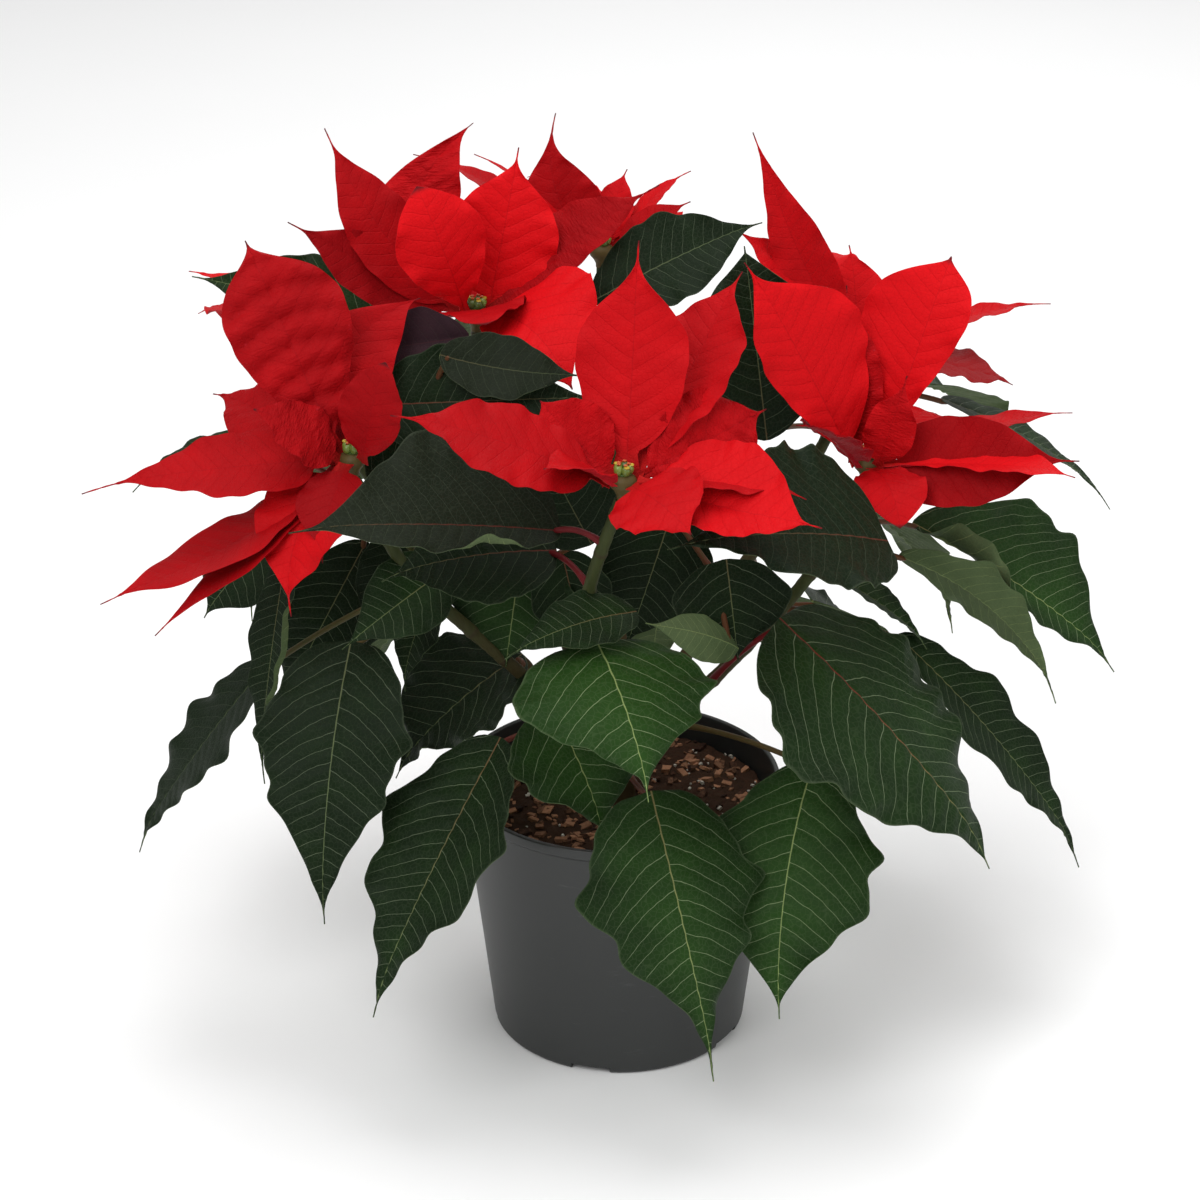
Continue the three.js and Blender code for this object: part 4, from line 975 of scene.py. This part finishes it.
def addStem(shape, points, radii, seed, age):
    # a tube whose radius swells at the joints by a exp(-(d / w)^2), d the way to the nearest joint, with
    # low bumps of sine times sine round and along it; its look holds its age and its scars
    reach = np.linalg.norm(np.subtract(points[-1], points[0]))
    share = np.linspace(0, 1, int(stem["rings"] + reach / stem["ring"]))
    line = curvePoint(points, share)
    run = runAlong(line)
    dice = np.random.default_rng(seed)
    gap = np.abs((run / stem["joint"] + dice.random() + 0.5) % 1 - 0.5) * stem["joint"]
    swell = stem["swell"] * np.exp(-(gap / stem["swellReach"]) ** 2) * smooth(0, 0.08, share)
    radius = radii[0] + (radii[1] - radii[0]) * share + swell
    points, quads, caps = tubeShape(line, radius, stem["sides"])
    points = points.reshape(len(line), stem["sides"], 3)
    way = unit(points - line[:, None])
    bumps = stem["rough"] * np.sin(way[..., 0] * 5 + run[:, None] * 0.9)
    bumps = bumps * np.sin(way[..., 1] * 6 - run[:, None] * 0.5)
    points = points + way * bumps[..., None]
    aged = age[0] + (age[1] - age[0]) * share
    look = np.stack([aged, np.exp(-(gap / stem["scarReach"]) ** 2), 0 * aged], 1)
    shape.add(points, quads.tolist() + caps, 0, look=np.repeat(look, stem["sides"], 0))


stems = Shape()
addStem(stems, stem["trunk"], stem["trunkRadius"], 3, (0.0, 0.1))
for number, points in enumerate(branches.values()):
    addStem(stems, points, stem["radius"], 5 + number, (0.05, 1.0))
stems.piece("stemsAndTrunk", ["stem"], "stems", 60)
print("stems:", len(branches) + 1)


pot = {"high": 110, "rim": 65, "neck": 64, "base": 52, "wall": 1.8, "rimHigh": 5, "floor": 5, "corner": 2.5,
       "fillet": 3, "soften": 0.5, "sides": 180, "rings": 40, "channels": 5, "turn": -13, "sharp": 32}
channel = {"wide": 16, "high": 3, "inner": 22}
step = {"wide": 18, "high": 1, "inner": 42}
drain = {"radius": 4, "at": 32, "sides": 32}


def potInner(z):
    # the wall's inner radius: straight from the base to the neck, less the wall
    share = (z - pot["corner"]) / (pot["high"] - pot["rimHigh"] - pot["corner"])
    return pot["base"] + (pot["neck"] - pot["base"]) * share - pot["wall"]


def arcPoints(x, z, radius, first, last, count=6):
    # points of an arc round (x, z) between two angles in degrees
    angle = np.radians(np.linspace(first, last, count))
    return np.stack([x + radius * np.cos(angle), z + radius * np.sin(angle)], 1)


def potProfile():
    # (radius, height) up the outside, over the rim and down the inside to the middle of the floor
    soft, corner, high, fillet = pot["soften"], pot["corner"], pot["high"], pot["fillet"]
    rimLow, inner, inside = high - pot["rimHigh"], potInner(high), pot["floor"] + fillet
    wall = np.linspace(0, 1, pot["rings"])[1:-1, None]
    foot = potInner(inside)
    return np.concatenate([
        [(0.01, 0), (20, 0), (pot["base"] - corner - 4, 0)],
        arcPoints(pot["base"] - corner, corner, corner, -90, 0, 8),
        np.array([pot["base"], corner]) * (1 - wall) + np.array([pot["neck"], rimLow]) * wall,
        [(pot["neck"], rimLow), (pot["neck"] + 0.25, rimLow + 0.15)],
        arcPoints(pot["rim"] - soft, rimLow + 1 + soft, soft, -45, 0, 4),
        arcPoints(pot["rim"] - soft, high - soft, soft, 0, 90),
        arcPoints(inner + soft, high - soft, soft, 90, 180),
        np.array([inner, high]) * (1 - wall) + np.array([foot, inside]) * wall,
        arcPoints(foot - fillet, inside, fillet, 0, -90),
        [(30, pot["floor"]), (0.01, pot["floor"])],
    ])


def boxAcross(settings, angle):
    # corners and faces of a block under the pot along one radius, from its inner end to past the wall
    reach = pot["base"] + pot["wall"] - settings["inner"]
    half, high = settings["wide"] / 2, settings["high"]
    plan = ((-half, 0), (half, 0), (half, reach), (-half, reach))
    corners = [(x, -(settings["inner"] + y), z) for z in (-high, high) for x, y in plan]
    turned = np.array([outward(angle), outward(angle + math.pi / 2), (0, 0, 1)])
    faces = [(0, 1, 2, 3), (7, 6, 5, 4), (0, 4, 5, 1), (1, 5, 6, 2), (2, 6, 7, 3), (3, 7, 4, 0)]
    return np.array(corners, float) @ turned, faces


def carve(body, cutter):
    # takes the cutter's solids out of the body for good, and marks the sharp edges again
    tool = bpy.data.meshes.new("cutter")
    tool.from_pydata(np.concatenate(cutter.points) * mm, [], cutter.faces)
    holder = bpy.data.objects.new("cutter", tool)
    bpy.context.scene.collection.objects.link(holder)
    cut = body.modifiers.new("cut", "BOOLEAN")
    cut.operation, cut.solver, cut.object, cut.use_self = "DIFFERENCE", "EXACT", holder, True
    bpy.context.view_layer.update()
    carved = bpy.data.meshes.new_from_object(body.evaluated_get(bpy.context.evaluated_depsgraph_get()))
    body.modifiers.clear()
    body.data = carved
    carved.name = body.name
    bpy.data.objects.remove(holder)
    carved.polygons.foreach_set("use_smooth", np.ones(len(carved.polygons), bool))
    carved.set_sharp_from_angle(angle=math.radians(pot["sharp"]))


def makePot():
    # the turned wall, with channels, steps and drain holes cut in from below; its look marks the inside,
    # where the finish paints shade
    profile = potProfile()
    radius, high = profile.T
    wallMiddle = potInner(high) + pot["wall"] / 2
    # the inner wall and floor, to be painted darker as shade
    shadedInside = (radius < wallMiddle) & (high > 1)
    shape = Shape()
    look = np.repeat(shadedInside, pot["sides"])[:, None] * (1, 0, 0)
    addLathe(shape, profile, np.zeros(3), pot["sides"], 0, look=look)
    body = shape.piece("potWall", ["pot"], "pot")
    cutter = Shape()
    for number in range(pot["channels"]):
        turn = math.radians(pot["turn"] + 360 * number / pot["channels"])
        cutter.add(*boxAcross(channel, turn))
        cutter.add(*boxAcross(step, turn + math.pi / pot["channels"]))
        tube = [(drain["radius"], channel["high"] - 1), (drain["radius"], pot["floor"] + 1)]
        addLathe(cutter, tube, outward(turn - math.pi / 2) * drain["at"], drain["sides"], 0)
    carve(body, cutter)


makePot()
print("pot ready")


soil = {"top": 98, "dome": 2, "relief": 1.1, "rings": 60, "sides": 150, "room": 0.6, "clear": 0.4,
        "bark": 620, "barkSize": (1.6, 5.2), "barkFlat": 0.34, "grains": 90, "grainSize": (0.8, 1.9),
        "grainFlat": 0.75, "trunk": 8}


def soilHeight(x, y):
    # top of the filling: a low dome with crumbs, as a sum of sines of two sizes
    r = np.hypot(x, y) / 60.0
    crumbs = np.sin(x * 0.52 + 1.3 * np.sin(y * 0.31)) * np.sin(y * 0.47 + 1.1 * np.sin(x * 0.29))
    fine = np.sin(x * 1.6 + y * 0.7) * np.sin(y * 1.8 - x * 0.5)
    return soil["top"] + soil["dome"] * (1 - r * r) + soil["relief"] * (0.6 * crumbs + 0.3 * fine)


def addCrumbs(shape, seed, count, sizes, flat, reach, pale):
    # chips: an eight-cornered block with its corners moved at random, stretched, tilted by b to
    # (x cos b + z sin b, z cos b - x sin b), turned by a to (x cos a - y sin a, x sin a + y cos a) and laid
    # on the filling
    dice = np.random.default_rng(seed)
    block = np.array([(x, y, z) for z in (-1, 1) for y in (-1, 1) for x in (-1, 1)], float)
    faces = np.array([(0, 2, 3, 1), (4, 5, 7, 6), (0, 1, 5, 4), (1, 3, 7, 5), (3, 2, 6, 7), (2, 0, 4, 6)])
    corners = block[None] * (1 + 0.45 * (dice.random((count, 8, 3)) - 0.5))
    size = sizes[0] + (sizes[1] - sizes[0]) * dice.random(count) ** 2.2
    scale = np.stack([size / 2, size / 2 * (0.45 + 0.4 * dice.random(count)), size / 2 * flat], 1)
    x, y, z = np.moveaxis(corners * scale[:, None], -1, 0)
    turn, tilt = dice.random(count)[:, None] * 2 * np.pi, (dice.random(count)[:, None] - 0.5) * 1.1
    x, z = x * np.cos(tilt) + z * np.sin(tilt), z * np.cos(tilt) - x * np.sin(tilt)
    x, y = x * np.cos(turn) - y * np.sin(turn), x * np.sin(turn) + y * np.cos(turn)
    radius = np.maximum((reach - size / 2 - 0.6) * np.sqrt(dice.random(count)), soil["trunk"] + size / 2)
    way = dice.random(count) * 2 * np.pi
    middleX, middleY = radius * np.cos(way), radius * np.sin(way)
    middle = np.stack([middleX, middleY, soilHeight(middleX, middleY) + size * flat * 0.25], 1)
    points = np.stack([x, y, z], -1) + middle[:, None]
    quads = (faces[None] + 8 * np.arange(count)[:, None, None]).reshape(-1, 4)
    look = np.stack([dice.random(count), np.full(count, float(pale)), np.zeros(count)], 1)
    shape.add(points, quads.tolist(), 1, look=np.repeat(look, 8, 0))


def makeSoil():
    # rings of the crumbled top, closed by a wall and a floor just inside the pot, with loose bits on it
    shape = Shape()
    reach = potInner(soil["top"] - soil["dome"]) - soil["room"]
    rings, sides = soil["rings"], soil["sides"]
    share = np.linspace(0.004, 1, rings)[:, None]
    angle = np.linspace(0, 2 * np.pi, sides, endpoint=False)[None, :]
    x, y = reach * share * np.cos(angle), reach * share * np.sin(angle)
    top = np.stack([x, y, soilHeight(x, y)], -1)
    base = potInner(pot["floor"]) - soil["room"]
    low = np.stack([base * np.cos(angle), base * np.sin(angle), pot["floor"] + soil["clear"] + 0 * angle], -1)
    quads = np.roll(ringFaces(rings + 1, sides)[:, ::-1], 1, axis=1).tolist()
    caps = [cap[::-1] for cap in ringCaps(rings + 1, sides)]
    shape.add(np.concatenate([top, low]), quads + caps, 0)
    addCrumbs(shape, 21, soil["bark"], soil["barkSize"], soil["barkFlat"], reach, 0)
    addCrumbs(shape, 22, soil["grains"], soil["grainSize"], soil["grainFlat"], reach, 1)
    return shape.piece("filling", ["peat", "crumb"], "soil", 40)


makeSoil()
print("filling ready")


def makeFloor():
    # a pale square under the pot, not part of the object
    half = backdrop["size"] / 2
    corners = [(-half, -half, 0), (half, -half, 0), (half, half, 0), (-half, half, 0)]
    mesh = bpy.data.meshes.new("floor")
    mesh.from_pydata(corners, [], [(0, 1, 2, 3)])
    skin = Skin("floor")
    speck = skin.noise(skin.place(), 3.0, detail=2.0)
    mesh.materials.append(skin.finish(skin.mix(speck, *backdrop["colours"]), 0.9))
    thing = bpy.data.objects.new("floor", mesh)
    bpy.context.scene.collection.objects.link(thing)


makeFloor()
print("floor ready")
